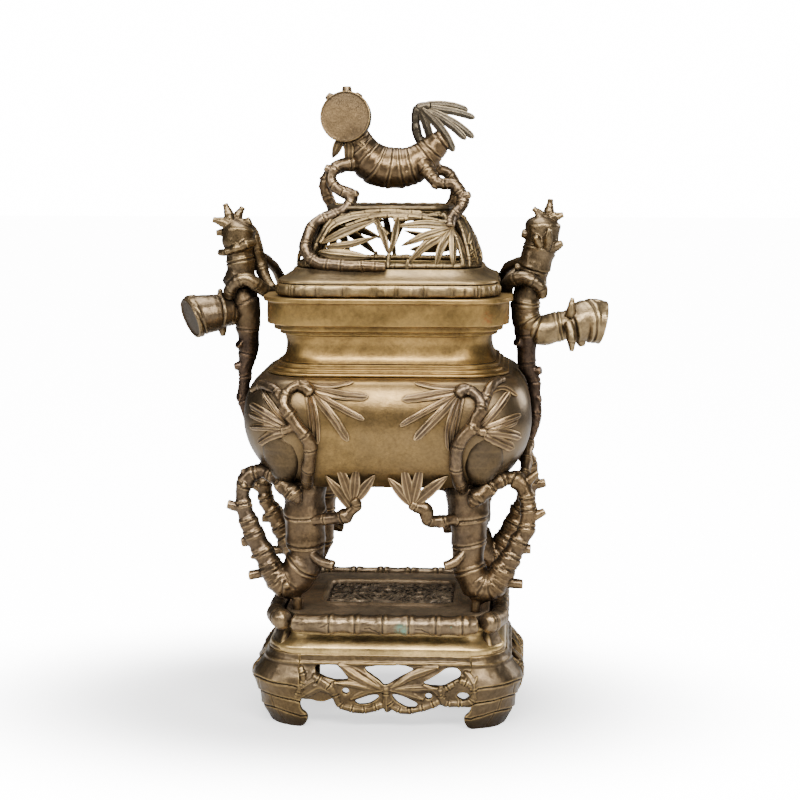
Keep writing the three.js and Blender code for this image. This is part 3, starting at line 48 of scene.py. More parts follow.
LIMBS = {
    "leg_front_left": [
        {"k":"t","p":[[-60.9,-48.0,182.6,12.75],[-60.2,-48.0,175.9,15.0],[-60.3,-48.0,165.5,15.0],[-60.4,-48.0,153.6,15.0],[-60.0,-48.0,135.6,14.1],[-59.1,-48.0,125.9,12.6],[-62.1,-48.0,117.6,13.5],[-65.1,-48.0,110.7,14.62],[-68.1,-48.0,103.9,14.62],[-68.9,-48.0,97.9,9.75]],"s":10},
        {"k":"t","p":[[-67.0,-51.0,103.1,5.25],[-66.2,-51.0,94.1,4.2],[-66.1,-51.0,83.4,3.75]],"s":8},
        {"k":"t","p":[[-54.4,-57.0,127.2,5.25],[-45.8,-63.0,122.7,4.12],[-37.5,-66.0,120.9,3.0]],"s":6},
        {"k":"t","p":[[-72.4,-56.0,98.3,5.25],[-77.1,-60.0,95.4,4.12],[-81.3,-62.0,92.9,3.0]],"s":6},
    ],
    "leg_branch_front_left": [
        {"k":"t","p":[[-74.6,-50.0,101.3,10.12],[-77.1,-50.0,103.5,9.75],[-83.4,-50.0,111.7,9.0],[-89.2,-50.0,122.9,7.88],[-94.2,-50.0,132.6,7.5],[-99.3,-50.0,143.8,7.12],[-104.3,-50.0,157.9,6.0],[-105.9,-50.0,171.3,5.4],[-101.8,-50.0,182.5,6.38],[-96.6,-50.0,185.9,5.25],[-90.7,-50.0,187.1,5.25],[-81.2,-50.0,184.2,5.25],[-71.0,-50.0,175.4,6.0]],"s":8},
        {"k":"t","p":[[-103.1,-51.0,182.7,4.5],[-104.8,-51.0,188.9,1.88]],"s":6},
        {"k":"t","p":[[-105.8,-50.0,159.4,3.75],[-111.6,-50.0,160.8,3.38],[-117.2,-50.0,162.3,3.0]],"s":6},
        {"k":"t","p":[[-96.4,-50.0,135.6,3.75],[-102.4,-50.0,134.8,3.38],[-107.2,-50.0,133.9,3.0]],"s":6},
        {"k":"t","p":[[-89.3,-50.0,111.6,4.5],[-96.0,-50.0,110.0,3.6],[-101.9,-50.0,109.2,3.0]],"s":6},
        {"k":"t","p":[[-80.7,-54.0,186.5,3.38],[-79.9,-54.0,189.7,3.15],[-74.7,-54.0,196.1,1.88]],"s":6},
    ],
    "leg_twig_front_left": [
        {"k":"t","p":[[-57.5,-54.0,151.1,4.5],[-50.3,-60.0,153.2,4.12],[-35.9,-66.0,156.1,4.5],[-29.2,-68.0,158.1,5.62],[-25.5,-69.0,161.2,4.12],[-20.3,-70.0,166.6,3.75],[-22.4,-71.0,171.2,3.75]],"s":6},
        {"k":"t","p":[[-28.4,-69.0,157.5,3.75],[-27.6,-70.0,153.4,2.25]],"s":5},
        {"k":"l","p":[[-22.8,-70.0,161.5,1.12],[-28.6,-70.0,169.8,3.03],[-35.6,-70.0,179.0,2.87],[-42.9,-70.0,187.6,0.48]],"t":2.4,"n":[0,-1,0]},
        {"k":"l","p":[[-23.8,-71.0,169.0,1.18],[-26.8,-71.0,178.2,3.21],[-30.7,-71.0,188.2,3.04],[-35.2,-71.0,197.3,0.51]],"t":2.4,"n":[0,-1,0]},
        {"k":"l","p":[[-22.7,-71.5,170.6,1.12],[-22.0,-71.5,178.5,3.03],[-21.2,-71.5,187.7,2.87],[-20.2,-71.5,196.9,0.48]],"t":2.4,"n":[0,-1,0]},
        {"k":"l","p":[[-21.6,-71.0,169.0,1.18],[-17.3,-71.0,175.2,3.21],[-12.2,-71.0,182.2,3.04],[-7.2,-71.0,188.9,0.51]],"t":2.4,"n":[0,-1,0]},
    ],
    "leg_front_right": [
        {"k":"t","p":[[58.2,-48.0,181.7,12.75],[58.6,-48.0,172.8,15.38],[59.0,-48.0,160.2,15.0],[59.8,-48.0,149.1,13.5],[59.6,-48.0,132.7,12.0],[59.6,-48.0,120.0,11.4],[63.0,-48.0,109.5,11.62],[67.4,-48.0,99.8,11.25],[68.2,-48.0,93.1,7.88]],"s":10},
        {"k":"t","p":[[66.0,-51.0,97.5,5.25],[65.2,-51.0,90.0,4.05],[65.0,-51.0,83.9,3.6]],"s":8},
        {"k":"t","p":[[55.8,-57.0,129.4,4.88],[48.7,-62.0,123.1,3.75],[42.2,-64.0,121.2,3.0]],"s":6},
    ],
    "leg_branch_front_right": [
        {"k":"t","p":[[72.6,-50.0,101.9,9.75],[78.4,-50.0,105.0,9.0],[82.7,-50.0,111.8,9.0],[87.0,-50.0,119.3,8.25],[92.1,-50.0,128.3,7.12],[96.3,-50.0,137.3,6.6],[101.4,-50.0,145.6,6.15],[102.7,-50.0,156.7,5.7],[102.6,-50.0,164.8,5.7],[100.4,-50.0,173.7,6.0],[96.7,-50.0,180.3,6.38],[89.4,-50.0,183.9,5.25],[80.7,-50.0,182.3,5.25],[72.1,-50.0,177.0,6.0],[64.8,-50.0,174.0,6.0]],"s":8},
        {"k":"t","p":[[103.5,-50.0,153.7,3.75],[109.2,-50.0,156.8,3.0],[115.0,-50.0,159.8,2.25]],"s":6},
        {"k":"t","p":[[94.9,-50.0,131.3,4.12],[100.0,-50.0,131.4,3.38],[105.1,-50.0,131.5,3.0]],"s":6},
        {"k":"t","p":[[87.1,-50.0,105.9,4.5],[93.7,-50.0,105.6,3.6],[99.5,-50.0,105.3,3.0]],"s":6},
        {"k":"t","p":[[99.6,-50.0,178.8,3.75],[104.6,-50.0,184.0,2.85],[109.6,-50.0,188.5,1.72]],"s":6},
        {"k":"t","p":[[80.8,-52.0,182.7,4.5],[80.0,-52.0,186.4,3.0]],"s":6},
        {"k":"t","p":[[99.6,-48.0,182.1,4.5],[101.0,-36.0,191.1,4.12],[101.8,-24.0,198.7,4.12],[104.7,-13.0,205.1,3.38]],"s":6},
    ],
    "leg_twig_front_right": [
        {"k":"t","p":[[56.3,-54.0,152.5,4.5],[47.1,-60.0,154.4,4.12],[40.0,-64.0,154.0,4.5],[30.7,-67.0,155.6,4.35],[28.9,-68.0,163.2,5.62],[22.9,-69.0,165.5,4.12],[18.6,-70.0,167.8,3.75]],"s":6},
        {"k":"t","p":[[40.0,-65.0,153.9,3.75],[40.8,-66.0,149.7,2.25]],"s":5},
        {"k":"l","p":[[19.4,-71.0,166.6,1.18],[14.2,-71.0,173.1,3.21],[8.2,-71.0,180.2,3.04],[2.1,-71.0,186.8,0.51]],"t":2.4,"n":[0,-1,0]},
        {"k":"l","p":[[18.7,-71.5,167.4,1.18],[17.0,-71.5,176.6,3.21],[14.9,-71.5,187.0,3.04],[12.9,-71.5,197.2,0.51]],"t":2.4,"n":[0,-1,0]},
        {"k":"l","p":[[19.4,-71.5,167.4,1.18],[21.5,-71.5,176.6,3.21],[23.9,-71.5,187.4,3.04],[26.1,-71.5,198.1,0.51]],"t":2.4,"n":[0,-1,0]},
        {"k":"l","p":[[19.4,-71.0,166.6,1.31],[27.1,-71.0,173.7,3.56],[36.1,-71.0,181.5,3.38],[45.1,-71.0,188.7,0.56]],"t":2.4,"n":[0,-1,0]},
    ],
    "corner_spray_front_left": [
        {"k":"t","p":[[-57.0,-63.6,178.9,4.5],[-54.8,-76.8,193.1,4.72],[-52.7,-82.3,203.5,4.65],[-52.3,-85.2,211.9,4.8],[-53.6,-86.2,216.4,4.95],[-57.0,-87.3,221.5,4.5],[-61.3,-87.1,227.2,4.5],[-66.2,-86.7,234.2,4.2],[-69.9,-85.1,239.7,4.5],[-70.8,-83.4,244.4,4.2],[-68.9,-81.1,249.9,3.6],[-64.8,-79.6,253.3,3.45],[-57.8,-78.0,255.6,3.15],[-53.4,-79.1,254.7,3.0]],"s":7},
        {"k":"l","p":[[-52.8,-77.9,254.6,0.79],[-44.2,-78.5,253.4,2.14],[-33.6,-78.3,253.7,2.02],[-22.4,-76.2,256.0,0.34]],"t":2.2,"n":[0,-1,0]},
        {"k":"l","p":[[-54.2,-79.0,252.5,1.25],[-42.0,-80.7,249.5,3.38],[-27.1,-82.0,247.1,3.21],[-11.2,-82.2,246.6,0.53]],"t":2.2,"n":[0,-1,0]},
        {"k":"l","p":[[-51.1,-80.8,249.3,0.92],[-39.0,-83.2,243.3,2.49],[-25.8,-85.1,236.8,2.36],[-13.9,-85.6,231.0,0.39]],"t":2.2,"n":[0,-1,0]},
        {"k":"l","p":[[-53.3,-80.1,250.6,1.25],[-44.9,-83.4,242.5,3.38],[-35.1,-85.6,230.8,3.21],[-25.3,-84.7,215.7,0.53]],"t":2.2,"n":[0,-1,0]},
        {"k":"l","p":[[-54.8,-80.1,250.6,0.92],[-52.7,-83.7,241.6,2.49],[-51.0,-85.6,230.5,2.36],[-50.2,-85.3,218.4,0.39]],"t":2.2,"n":[0,-1,0]},
        {"k":"l","p":[[-53.3,-80.8,249.2,0.92],[-50.0,-84.3,239.5,2.49],[-47.7,-85.8,227.0,2.36],[-47.4,-84.2,213.2,0.39]],"t":2.2,"n":[0,-1,0]},
        {"k":"t","p":[[-62.0,-86.7,227.1,4.12],[-66.3,-86.8,225.0,3.75],[-70.6,-86.6,222.7,3.75]],"s":6},
        {"k":"l","p":[[-67.1,-85.9,225.5,0.85],[-76.3,-83.6,235.8,2.32],[-84.6,-76.5,244.5,2.19],[-89.0,-69.2,249.5,0.37]],"t":2.2,"n":[0,-1,0]},
        {"k":"l","p":[[-69.3,-85.6,227.6,0.79],[-75.4,-84.1,233.3,2.14],[-82.0,-79.9,239.9,2.02],[-87.8,-73.2,246.4,0.34]],"t":2.2,"n":[0,-1,0]},
        {"k":"l","p":[[-68.6,-85.8,224.8,1.12],[-76.9,-83.9,229.6,3.03],[-86.8,-78.8,234.5,2.87],[-97.4,-66.6,238.2,0.48]],"t":2.2,"n":[0,-1,0]},
        {"k":"l","p":[[-69.3,-85.8,223.3,0.92],[-78.5,-83.6,226.8,2.49],[-88.7,-77.9,229.9,2.36],[-98.1,-67.5,231.8,0.39]],"t":2.2,"n":[0,-1,0]},
        {"k":"l","p":[[-68.6,-85.9,222.6,0.92],[-76.0,-84.6,223.6,2.49],[-85.7,-80.4,224.0,2.36],[-97.1,-70.0,222.7,0.39]],"t":2.2,"n":[0,-1,0]},
        {"k":"l","p":[[-68.6,-86.0,221.9,1.25],[-75.2,-84.6,220.8,3.38],[-83.0,-80.7,217.6,3.21],[-91.1,-72.6,211.6,0.53]],"t":2.2,"n":[0,-1,0]},
        {"k":"t","p":[[-72.3,-83.2,243.0,4.12],[-76.4,-78.3,250.1,3.75],[-82.0,-73.4,252.3,3.75],[-88.6,-67.0,252.8,3.6],[-96.7,-60.5,248.2,2.25]],"s":6},
        {"k":"t","p":[[-59.9,-78.5,253.9,4.12],[-55.5,-79.3,252.6,4.88],[-51.8,-81.1,249.3,4.5]],"s":6},
        {"k":"t","p":[[-63.5,-86.0,225.6,3.75],[-67.8,-86.0,224.1,4.5],[-72.2,-85.6,222.6,4.5]],"s":6},
        {"k":"t","p":[[-72.0,-74.9,223.7,3.75],[-74.4,-73.6,218.4,10.5],[-74.0,-71.6,210.1,14.25],[-73.1,-67.6,201.4,15.0],[-73.3,-60.5,192.1,12.0],[-74.6,-43.9,181.0,5.25]],"s":8},
    ],
    "corner_spray_front_right": [
        {"k":"t","p":[[55.0,-62.7,177.8,4.65],[51.7,-74.7,190.2,4.72],[51.1,-81.1,200.7,4.72],[51.9,-84.8,210.0,4.72],[54.7,-86.4,217.5,4.95],[58.9,-87.4,222.6,4.65],[63.1,-87.1,226.9,4.65],[65.2,-86.8,233.3,4.35],[68.7,-85.6,238.8,4.5],[68.6,-83.9,244.3,4.35],[66.4,-82.5,248.3,3.9],[62.2,-80.8,251.6,3.6],[56.5,-79.7,253.5,3.3],[53.0,-79.7,253.5,3.0]],"s":7},
        {"k":"l","p":[[55.1,-78.9,252.7,0.83],[44.9,-78.9,252.6,2.24],[33.2,-78.4,253.5,2.13],[21.7,-76.6,255.7,0.35]],"t":2.2,"n":[0,-1,0]},
        {"k":"l","p":[[54.4,-79.6,251.4,1.25],[41.3,-81.0,248.9,3.38],[26.7,-82.2,246.6,3.21],[12.9,-82.7,245.0,0.53]],"t":2.2,"n":[0,-1,0]},
        {"k":"l","p":[[53.7,-80.8,249.4,0.92],[40.3,-83.3,242.8,2.49],[25.4,-85.4,235.0,2.36],[11.6,-85.8,226.9,0.39]],"t":2.2,"n":[0,-1,0]},
        {"k":"l","p":[[54.4,-80.4,250.1,1.25],[44.8,-83.9,240.7,3.38],[33.4,-85.7,229.1,3.21],[21.5,-85.0,216.9,0.53]],"t":2.2,"n":[0,-1,0]},
        {"k":"l","p":[[54.4,-81.1,248.7,0.98],[49.1,-85.0,236.9,2.67],[45.7,-86.0,223.2,2.53],[46.2,-83.5,209.7,0.42]],"t":2.2,"n":[0,-1,0]},
        {"k":"l","p":[[55.8,-80.4,250.1,0.92],[53.4,-84.2,239.9,2.49],[51.0,-85.7,228.3,2.36],[49.0,-85.1,217.2,0.39]],"t":2.2,"n":[0,-1,0]},
        {"k":"t","p":[[63.1,-86.7,226.9,4.12],[66.7,-86.8,224.8,3.75],[70.2,-86.7,222.6,3.75]],"s":6},
        {"k":"l","p":[[66.7,-86.0,223.9,1.12],[73.3,-84.7,231.1,3.03],[81.1,-80.3,239.8,2.87],[88.9,-70.0,248.9,0.48]],"t":2.2,"n":[0,-1,0]},
        {"k":"l","p":[[68.1,-85.9,223.9,0.98],[77.3,-83.9,227.1,2.67],[87.5,-78.7,230.4,2.53],[96.9,-69.1,233.0,0.42]],"t":2.2,"n":[0,-1,0]},
        {"k":"l","p":[[68.8,-85.9,223.2,0.92],[76.8,-84.3,224.3,2.49],[85.9,-80.1,226.3,2.36],[94.8,-72.2,229.2,0.39]],"t":2.2,"n":[0,-1,0]},
        {"k":"l","p":[[68.1,-85.9,223.2,1.25],[78.2,-83.9,223.0,3.38],[88.5,-78.3,221.1,3.21],[97.0,-67.8,217.0,0.53]],"t":2.2,"n":[0,-1,0]},
        {"k":"l","p":[[69.5,-85.9,222.5,1.38],[76.2,-83.9,219.2,3.74],[84.1,-79.2,214.8,3.54],[92.1,-70.7,209.5,0.59]],"t":2.2,"n":[0,-1,0]},
        {"k":"t","p":[[69.3,-83.8,242.8,4.12],[72.7,-80.5,248.8,3.75],[74.8,-76.6,253.3,3.75],[78.9,-69.6,256.6,3.45],[83.8,-62.0,257.8,2.25]],"s":6},
        {"k":"l","p":[[71.5,-84.4,237.2,0.92],[75.1,-78.1,249.8,2.49],[84.9,-70.2,252.4,2.36],[94.6,-65.7,246.2,0.39]],"t":2.2,"n":[0,-1,0]},
        {"k":"t","p":[[59.3,-79.2,252.8,4.12],[55.8,-79.5,252.1,4.88],[52.3,-81.4,248.8,4.5]],"s":6},
        {"k":"t","p":[[63.8,-86.0,226.0,3.75],[68.1,-86.0,223.9,4.5],[72.3,-85.6,222.5,4.5]],"s":6},
        {"k":"t","p":[[71.4,-74.9,224.4,3.75],[71.4,-73.9,217.0,10.5],[70.8,-71.8,208.0,14.25],[69.3,-67.0,198.4,15.0],[67.8,-60.8,190.0,11.25],[66.3,-50.5,180.8,5.25]],"s":8},
    ],
    "handle_left_post": [
        {"k":"t","p":[[-113.2,0.0,318.2,9.75],[-113.2,0.0,322.0,12.38],[-112.7,0.0,326.5,10.95],[-112.3,0.0,332.4,10.5],[-112.9,0.0,339.9,10.12],[-113.6,0.0,346.6,10.35],[-113.9,0.0,352.5,12.0],[-113.5,0.0,357.7,12.23],[-113.1,0.0,362.2,11.25],[-112.6,0.0,366.3,7.5]],"s":10},
        {"k":"t","p":[[-119.1,-2.0,363.8,4.5],[-120.5,-2.0,371.2,3.45],[-123.5,-2.0,379.7,1.35]],"s":6},
        {"k":"t","p":[[-116.0,2.0,362.8,4.5],[-115.1,2.0,369.5,3.3],[-110.5,2.0,376.9,1.35]],"s":6},
        {"k":"t","p":[[-119.6,-4.0,362.4,4.5],[-125.5,-4.0,366.1,3.3],[-132.2,-4.0,367.9,1.35]],"s":6},
        {"k":"t","p":[[-120.5,2.0,356.1,4.5],[-125.8,2.0,358.0,3.0],[-130.7,2.0,357.6,1.65]],"s":6},
        {"k":"t","p":[[-107.7,-3.0,364.6,4.5],[-104.0,-3.0,366.4,3.45]],"s":6},
        {"k":"t","p":[[-117.9,-2.0,343.0,4.12],[-122.4,-2.0,343.7,3.45],[-127.2,-2.0,344.1,2.85]],"s":6},
        {"k":"t","p":[[-114.5,-9.0,348.6,3.75],[-114.0,-12.5,348.8,2.7]],"s":5},
        {"k":"t","p":[[-108.6,-9.0,350.1,3.75],[-107.9,-13.5,350.4,2.55]],"s":5},
        {"k":"t","p":[[-104.7,-5.0,349.2,3.75],[-101.9,-9.0,349.4,2.7]],"s":5},
    ],
    "handle_left_branch": [
        {"k":"t","p":[[-115.4,-2.0,296.7,7.5],[-119.7,-4.0,297.6,9.0],[-124.4,-7.0,299.0,11.4],[-129.4,-9.0,299.1,12.75],[-134.3,-11.0,298.5,14.1],[-139.3,-13.0,298.0,14.85],[-143.9,-14.5,297.0,15.15],[-148.4,-17.0,295.3,15.45]],"s":12},
        {"k":"t","p":[[-125.7,-8.0,303.9,4.5],[-126.4,-8.0,306.9,3.38],[-126.9,-9.0,316.7,1.35]],"s":6},
        {"k":"t","p":[[-123.1,-6.0,302.2,4.5],[-119.2,-8.0,308.7,1.5]],"s":6},
        {"k":"t","p":[[-123.8,-7.0,294.1,4.5],[-116.0,-12.0,295.4,2.25]],"s":6},
        {"k":"t","p":[[-126.0,-7.0,291.8,4.5],[-125.4,-7.0,281.3,1.5]],"s":6},
        {"k":"t","p":[[-147.8,-15.0,307.4,4.5],[-148.4,-15.0,312.6,3.15]],"s":6},
    ],
    "handle_left_stem": [
        {"k":"t","p":[[-111.7,0.0,316.7,9.75],[-110.3,0.0,309.3,10.12],[-108.1,0.0,301.0,10.12],[-107.5,0.0,293.5,9.38],[-107.6,0.0,286.7,8.62],[-106.9,0.0,274.7,7.65],[-108.6,0.0,263.3,6.38],[-110.2,0.0,255.7,5.4],[-110.2,0.0,249.7,4.8],[-111.1,0.0,242.1,4.65],[-111.6,0.0,233.7,4.5],[-109.8,0.0,223.8,3.75],[-106.9,0.0,213.9,3.3],[-103.9,0.0,203.2,3.0]],"s":8},
        {"k":"t","p":[[-110.2,0.0,257.2,4.5],[-114.4,-2.0,258.2,3.3],[-118.0,-3.0,257.6,2.25]],"s":6},
        {"k":"t","p":[[-111.6,0.0,234.5,4.12],[-115.3,-3.0,234.9,2.62]],"s":6},
        {"k":"t","p":[[-111.1,-3.0,273.5,4.5],[-114.4,-6.0,276.0,3.0]],"s":6},
    ],
    "handle_left_arm": [
        {"k":"t","p":[[-120.1,-10.0,310.8,3.75],[-118.1,-13.0,317.8,4.12],[-112.5,-15.0,323.2,4.35],[-105.8,-15.0,324.7,4.5],[-99.5,-12.0,320.8,4.35],[-94.1,-8.0,316.0,4.35],[-88.7,-4.0,313.1,4.12]],"s":6},
        {"k":"t","p":[[-107.1,8.0,361.1,3.38],[-105.1,10.0,358.7,3.6],[-102.3,11.0,351.9,3.6],[-98.7,12.0,342.9,3.6],[-96.3,10.0,334.0,3.9],[-93.0,7.0,325.3,3.9],[-90.9,2.0,319.7,3.9],[-89.7,-2.0,314.0,3.75]],"s":6},
        {"k":"t","p":[[-98.0,12.0,339.1,3.45],[-94.8,22.0,335.5,3.3],[-91.0,34.0,329.3,3.3],[-88.5,44.0,321.7,3.45],[-87.7,50.0,314.2,3.6]],"s":6},
    ],
    "handle_right_post": [
        {"k":"t","p":[[101.6,0.0,314.1,9.38],[102.3,0.0,318.5,10.88],[104.4,0.0,324.5,10.8],[105.8,0.0,331.9,11.4],[107.6,0.0,340.0,12.15],[110.1,0.0,347.4,11.7],[111.2,0.0,353.3,12.45],[111.8,0.0,360.7,12.75],[112.1,0.0,366.2,11.7],[112.4,0.0,370.2,7.5]],"s":10},
        {"k":"t","p":[[115.1,2.0,367.2,4.5],[116.5,2.0,374.5,3.3],[117.6,2.0,383.6,1.35]],"s":6},
        {"k":"t","p":[[111.3,-3.0,366.7,4.5],[109.1,-4.0,372.6,3.0],[104.6,-4.0,377.0,1.5]],"s":6},
        {"k":"t","p":[[117.2,-2.0,367.4,4.5],[121.6,-2.0,370.3,3.3],[127.1,-2.0,372.2,1.5]],"s":6},
        {"k":"t","p":[[102.6,-2.0,357.1,4.12],[96.4,-2.0,358.5,2.55]],"s":6},
        {"k":"t","p":[[114.7,-9.0,348.7,4.5],[115.7,-14.0,355.6,3.0],[116.7,-16.0,362.6,1.35]],"s":6},
        {"k":"t","p":[[109.9,-10.0,350.2,3.75],[106.2,-14.0,357.0,1.95]],"s":6},
        {"k":"t","p":[[118.1,-6.0,347.1,4.5],[126.4,-8.0,351.6,1.95]],"s":6},
        {"k":"t","p":[[95.5,-2.0,332.7,3.75],[91.8,-2.0,332.7,2.62]],"s":6},
    ],
    "handle_right_branch": [
        {"k":"t","p":[[104.8,0.0,291.0,9.9],[108.5,0.0,287.7,10.5],[114.5,0.5,286.5,11.4],[119.6,1.0,288.0,11.25],[125.6,1.5,289.5,10.8],[130.7,2.0,290.2,10.95],[135.2,2.5,290.9,12.38],[139.6,3.0,291.7,14.1],[144.1,4.0,293.8,15.0],[150.8,5.0,293.0,16.05],[157.5,6.0,291.7,16.65]],"s":12},
        {"k":"t","p":[[132.6,-6.0,297.7,4.5],[133.3,-8.0,302.4,3.0],[134.1,-9.0,311.7,1.35]],"s":6},
        {"k":"t","p":[[131.0,-12.0,293.9,4.5],[133.3,-15.0,285.3,3.75],[133.9,-16.0,272.5,1.5]],"s":6},
        {"k":"t","p":[[153.5,3.0,305.2,4.5],[154.0,3.0,309.3,3.3]],"s":6},
        {"k":"t","p":[[140.4,0.0,280.8,4.5],[142.0,0.0,274.8,1.88]],"s":6},
    ],
    "handle_right_stem": [
        {"k":"t","p":[[99.4,0.0,311.1,9.38],[99.2,0.0,305.1,9.6],[99.5,0.0,298.4,9.9],[100.7,0.0,290.2,9.38],[100.8,0.0,282.0,8.1],[100.9,0.0,271.6,7.35],[101.3,0.0,261.8,6.6],[104.4,0.0,254.3,5.4],[106.7,0.0,247.6,4.65],[107.5,0.0,239.3,4.35],[108.4,0.0,228.7,4.35],[107.7,0.0,218.2,4.2],[104.8,0.0,208.3,3.9],[99.7,0.0,199.1,3.45]],"s":8},
        {"k":"t","p":[[105.1,0.0,255.8,4.5],[111.8,-3.0,257.0,2.55]],"s":6},
        {"k":"t","p":[[96.7,-3.0,276.4,4.5],[93.0,-6.0,278.9,3.0]],"s":6},
        {"k":"t","p":[[106.1,0.0,234.0,3.75],[112.0,-2.0,235.8,2.55]],"s":6},
    ],
    "handle_right_arm": [
        {"k":"t","p":[[111.8,-12.0,312.9,3.75],[110.9,-15.0,319.1,4.12],[105.8,-16.0,323.5,4.35],[98.4,-15.0,326.4,4.5],[90.4,-11.0,324.5,4.35],[86.0,-6.0,320.4,4.35],[85.7,-3.0,315.7,4.12]],"s":6},
        {"k":"t","p":[[97.7,8.0,336.5,3.45],[92.6,16.0,335.1,3.45],[86.6,28.0,331.3,3.38],[84.1,40.8,325.8,3.45],[80.7,50.5,318.3,3.6]],"s":6},
        {"k":"t","p":[[101.5,8.0,332.0,3.6],[94.1,5.0,329.2,3.6],[88.9,1.0,325.1,3.6],[85.2,-3.0,319.4,3.6]],"s":6},
    ],
    "finial_body": [
        {"k":"t","p":[[-22.1,-10.0,446.7,6.0],[-26.6,-9.0,440.9,8.62],[-28.2,-7.0,434.4,9.38],[-24.8,-4.0,425.7,11.25],[-19.1,-2.0,415.4,13.73],[-10.4,0.0,408.1,15.23],[1.4,0.0,405.9,14.85],[12.5,0.0,407.0,14.25],[21.3,0.0,411.8,12.75],[28.7,0.0,418.7,10.8],[34.5,0.0,423.8,9.3],[38.9,0.0,426.8,7.5]],"s":12},
    ],
    "finial_head": [
        {"k":"t","p":[[-32.2,-20.5,443.6,18.6],[-31.7,-16.0,443.0,18.6],[-31.4,-12.0,442.7,17.7],[-29.6,-7.5,441.3,12.0]],"s":18},
        {"k":"t","p":[[-30.8,-14.0,458.9,4.12],[-31.2,-14.0,461.7,3.45],[-31.3,-14.0,465.2,2.7]],"s":6},
        {"k":"t","p":[[-41.4,-14.0,455.3,3.75],[-43.6,-14.0,457.1,3.0],[-45.8,-14.0,458.9,2.25]],"s":6},
        {"k":"t","p":[[-24.1,-12.0,456.7,3.75],[-21.9,-12.0,460.0,2.1]],"s":6},
        {"k":"l","p":[[-35.7,-14.0,428.6,0.85],[-37.1,-14.0,424.7,2.32],[-39.2,-14.0,419.5,2.19],[-42.0,-14.0,413.4,0.37]],"t":3,"n":[0,-1,0]},
        {"k":"l","p":[[-30.5,-15.0,427.2,0.85],[-30.1,-15.0,421.1,2.32],[-29.9,-15.0,413.8,2.19],[-30.0,-15.0,406.2,0.37]],"t":3,"n":[0,-1,0]},
        {"k":"l","p":[[-26.9,-14.0,427.2,0.79],[-23.4,-14.0,423.7,2.14],[-19.1,-14.0,420.1,2.02],[-14.5,-14.0,417.1,0.34]],"t":3,"n":[0,-1,0]},
    ],
    "finial_tail_spray": [
        {"k":"t","p":[[34.5,0.0,424.9,4.5],[27.2,0.0,424.2,4.05],[21.3,0.0,426.4,3.75],[18.7,0.0,432.9,3.45],[18.0,0.0,440.2,3.45],[19.1,0.0,447.5,3.6],[22.7,0.0,450.7,3.45],[28.6,0.0,451.4,3.0]],"s":6},
        {"k":"l","p":[[21.3,0.0,451.1,1.18],[31.8,0.0,451.9,3.21],[44.1,0.0,451.1,3.04],[56.5,0.0,447.8,0.51]],"t":2.4,"n":[0,-1,0]},
        {"k":"l","p":[[22.8,-1.0,449.6,1.05],[34.7,-1.0,448.7,2.85],[48.3,-1.0,446.4,2.7],[61.6,-1.0,442.4,0.45]],"t":2.4,"n":[0,-1,0]},
        {"k":"l","p":[[22.8,-1.5,448.9,1.12],[35.1,-1.5,444.5,3.03],[48.6,-1.5,437.5,2.87],[61.0,-1.5,427.9,0.48]],"t":2.4,"n":[0,-1,0]},
        {"k":"l","p":[[22.1,-2.2,448.9,1.05],[33.1,-2.2,443.7,2.85],[44.9,-2.2,436.2,2.7],[55.2,-2.2,426.8,0.45]],"t":2.4,"n":[0,-1,0]},
        {"k":"l","p":[[22.1,-2.6,449.6,1.25],[30.9,-2.6,441.3,3.38],[39.6,-2.6,430.5,3.21],[46.3,-2.6,418.0,0.53]],"t":2.4,"n":[0,-1,0]},
        {"k":"l","p":[[21.4,-2.0,448.2,1.18],[24.9,-2.0,440.3,3.21],[27.9,-2.0,431.2,3.04],[29.5,-2.0,422.0,0.51]],"t":2.4,"n":[0,-1,0]},
    ],
    "finial_foreleg_near": [
        {"k":"t","p":[[-25.3,-8.0,409.7,6.75],[-31.4,-14.0,409.1,5.25],[-37.0,-17.0,408.0,4.35],[-41.2,-19.0,404.1,4.2],[-42.6,-20.0,397.6,4.05],[-38.9,-21.0,392.2,4.05],[-33.0,-22.0,389.0,4.35],[-27.8,-23.0,386.5,5.25],[-28.4,-25.0,381.1,4.05],[-33.2,-28.0,376.2,4.05],[-42.3,-33.0,372.0,3.9],[-50.6,-37.0,368.6,3.9],[-55.3,-41.0,363.8,4.05],[-57.9,-44.0,356.7,4.2],[-59.1,-47.0,349.7,4.35],[-55.3,-49.0,342.7,4.35],[-47.9,-51.0,338.9,4.35],[-37.0,-52.0,338.0,4.05],[-24.7,-53.0,337.4,3.9],[-11.8,-53.0,337.1,3.75],[-1.1,-53.0,336.7,3.45]],"s":6},
        {"k":"t","p":[[-27.7,-24.0,386.9,3.75],[-22.4,-27.0,388.4,2.25]],"s":5},
        {"k":"t","p":[[-43.4,-19.0,404.8,3.38],[-47.0,-20.0,407.0,2.25]],"s":5},
        {"k":"t","p":[[-59.2,-46.0,353.3,3.38],[-62.6,-47.0,354.7,2.25]],"s":5},
    ],
    "finial_hindleg_near": [
        {"k":"t","p":[[23.9,-8.0,409.7,6.75],[28.5,-12.0,402.6,5.25],[33.7,-15.0,396.9,4.5],[39.7,-17.0,394.8,4.2],[46.3,-19.0,394.8,4.35],[50.7,-20.0,390.5,4.35],[53.6,-21.0,384.8,4.8],[52.3,-24.0,378.4,4.05],[48.1,-28.0,373.5,4.05],[44.7,-34.0,368.7,3.9],[44.8,-38.0,364.6,3.75]],"s":6},
        {"k":"t","p":[[53.7,-22.0,385.5,3.75],[58.8,-24.0,387.8,2.25]],"s":5},
        {"k":"t","p":[[34.5,-15.0,396.1,3.38],[32.4,-17.0,391.8,2.25]],"s":5},
    ],
    "finial_foreleg_far": [
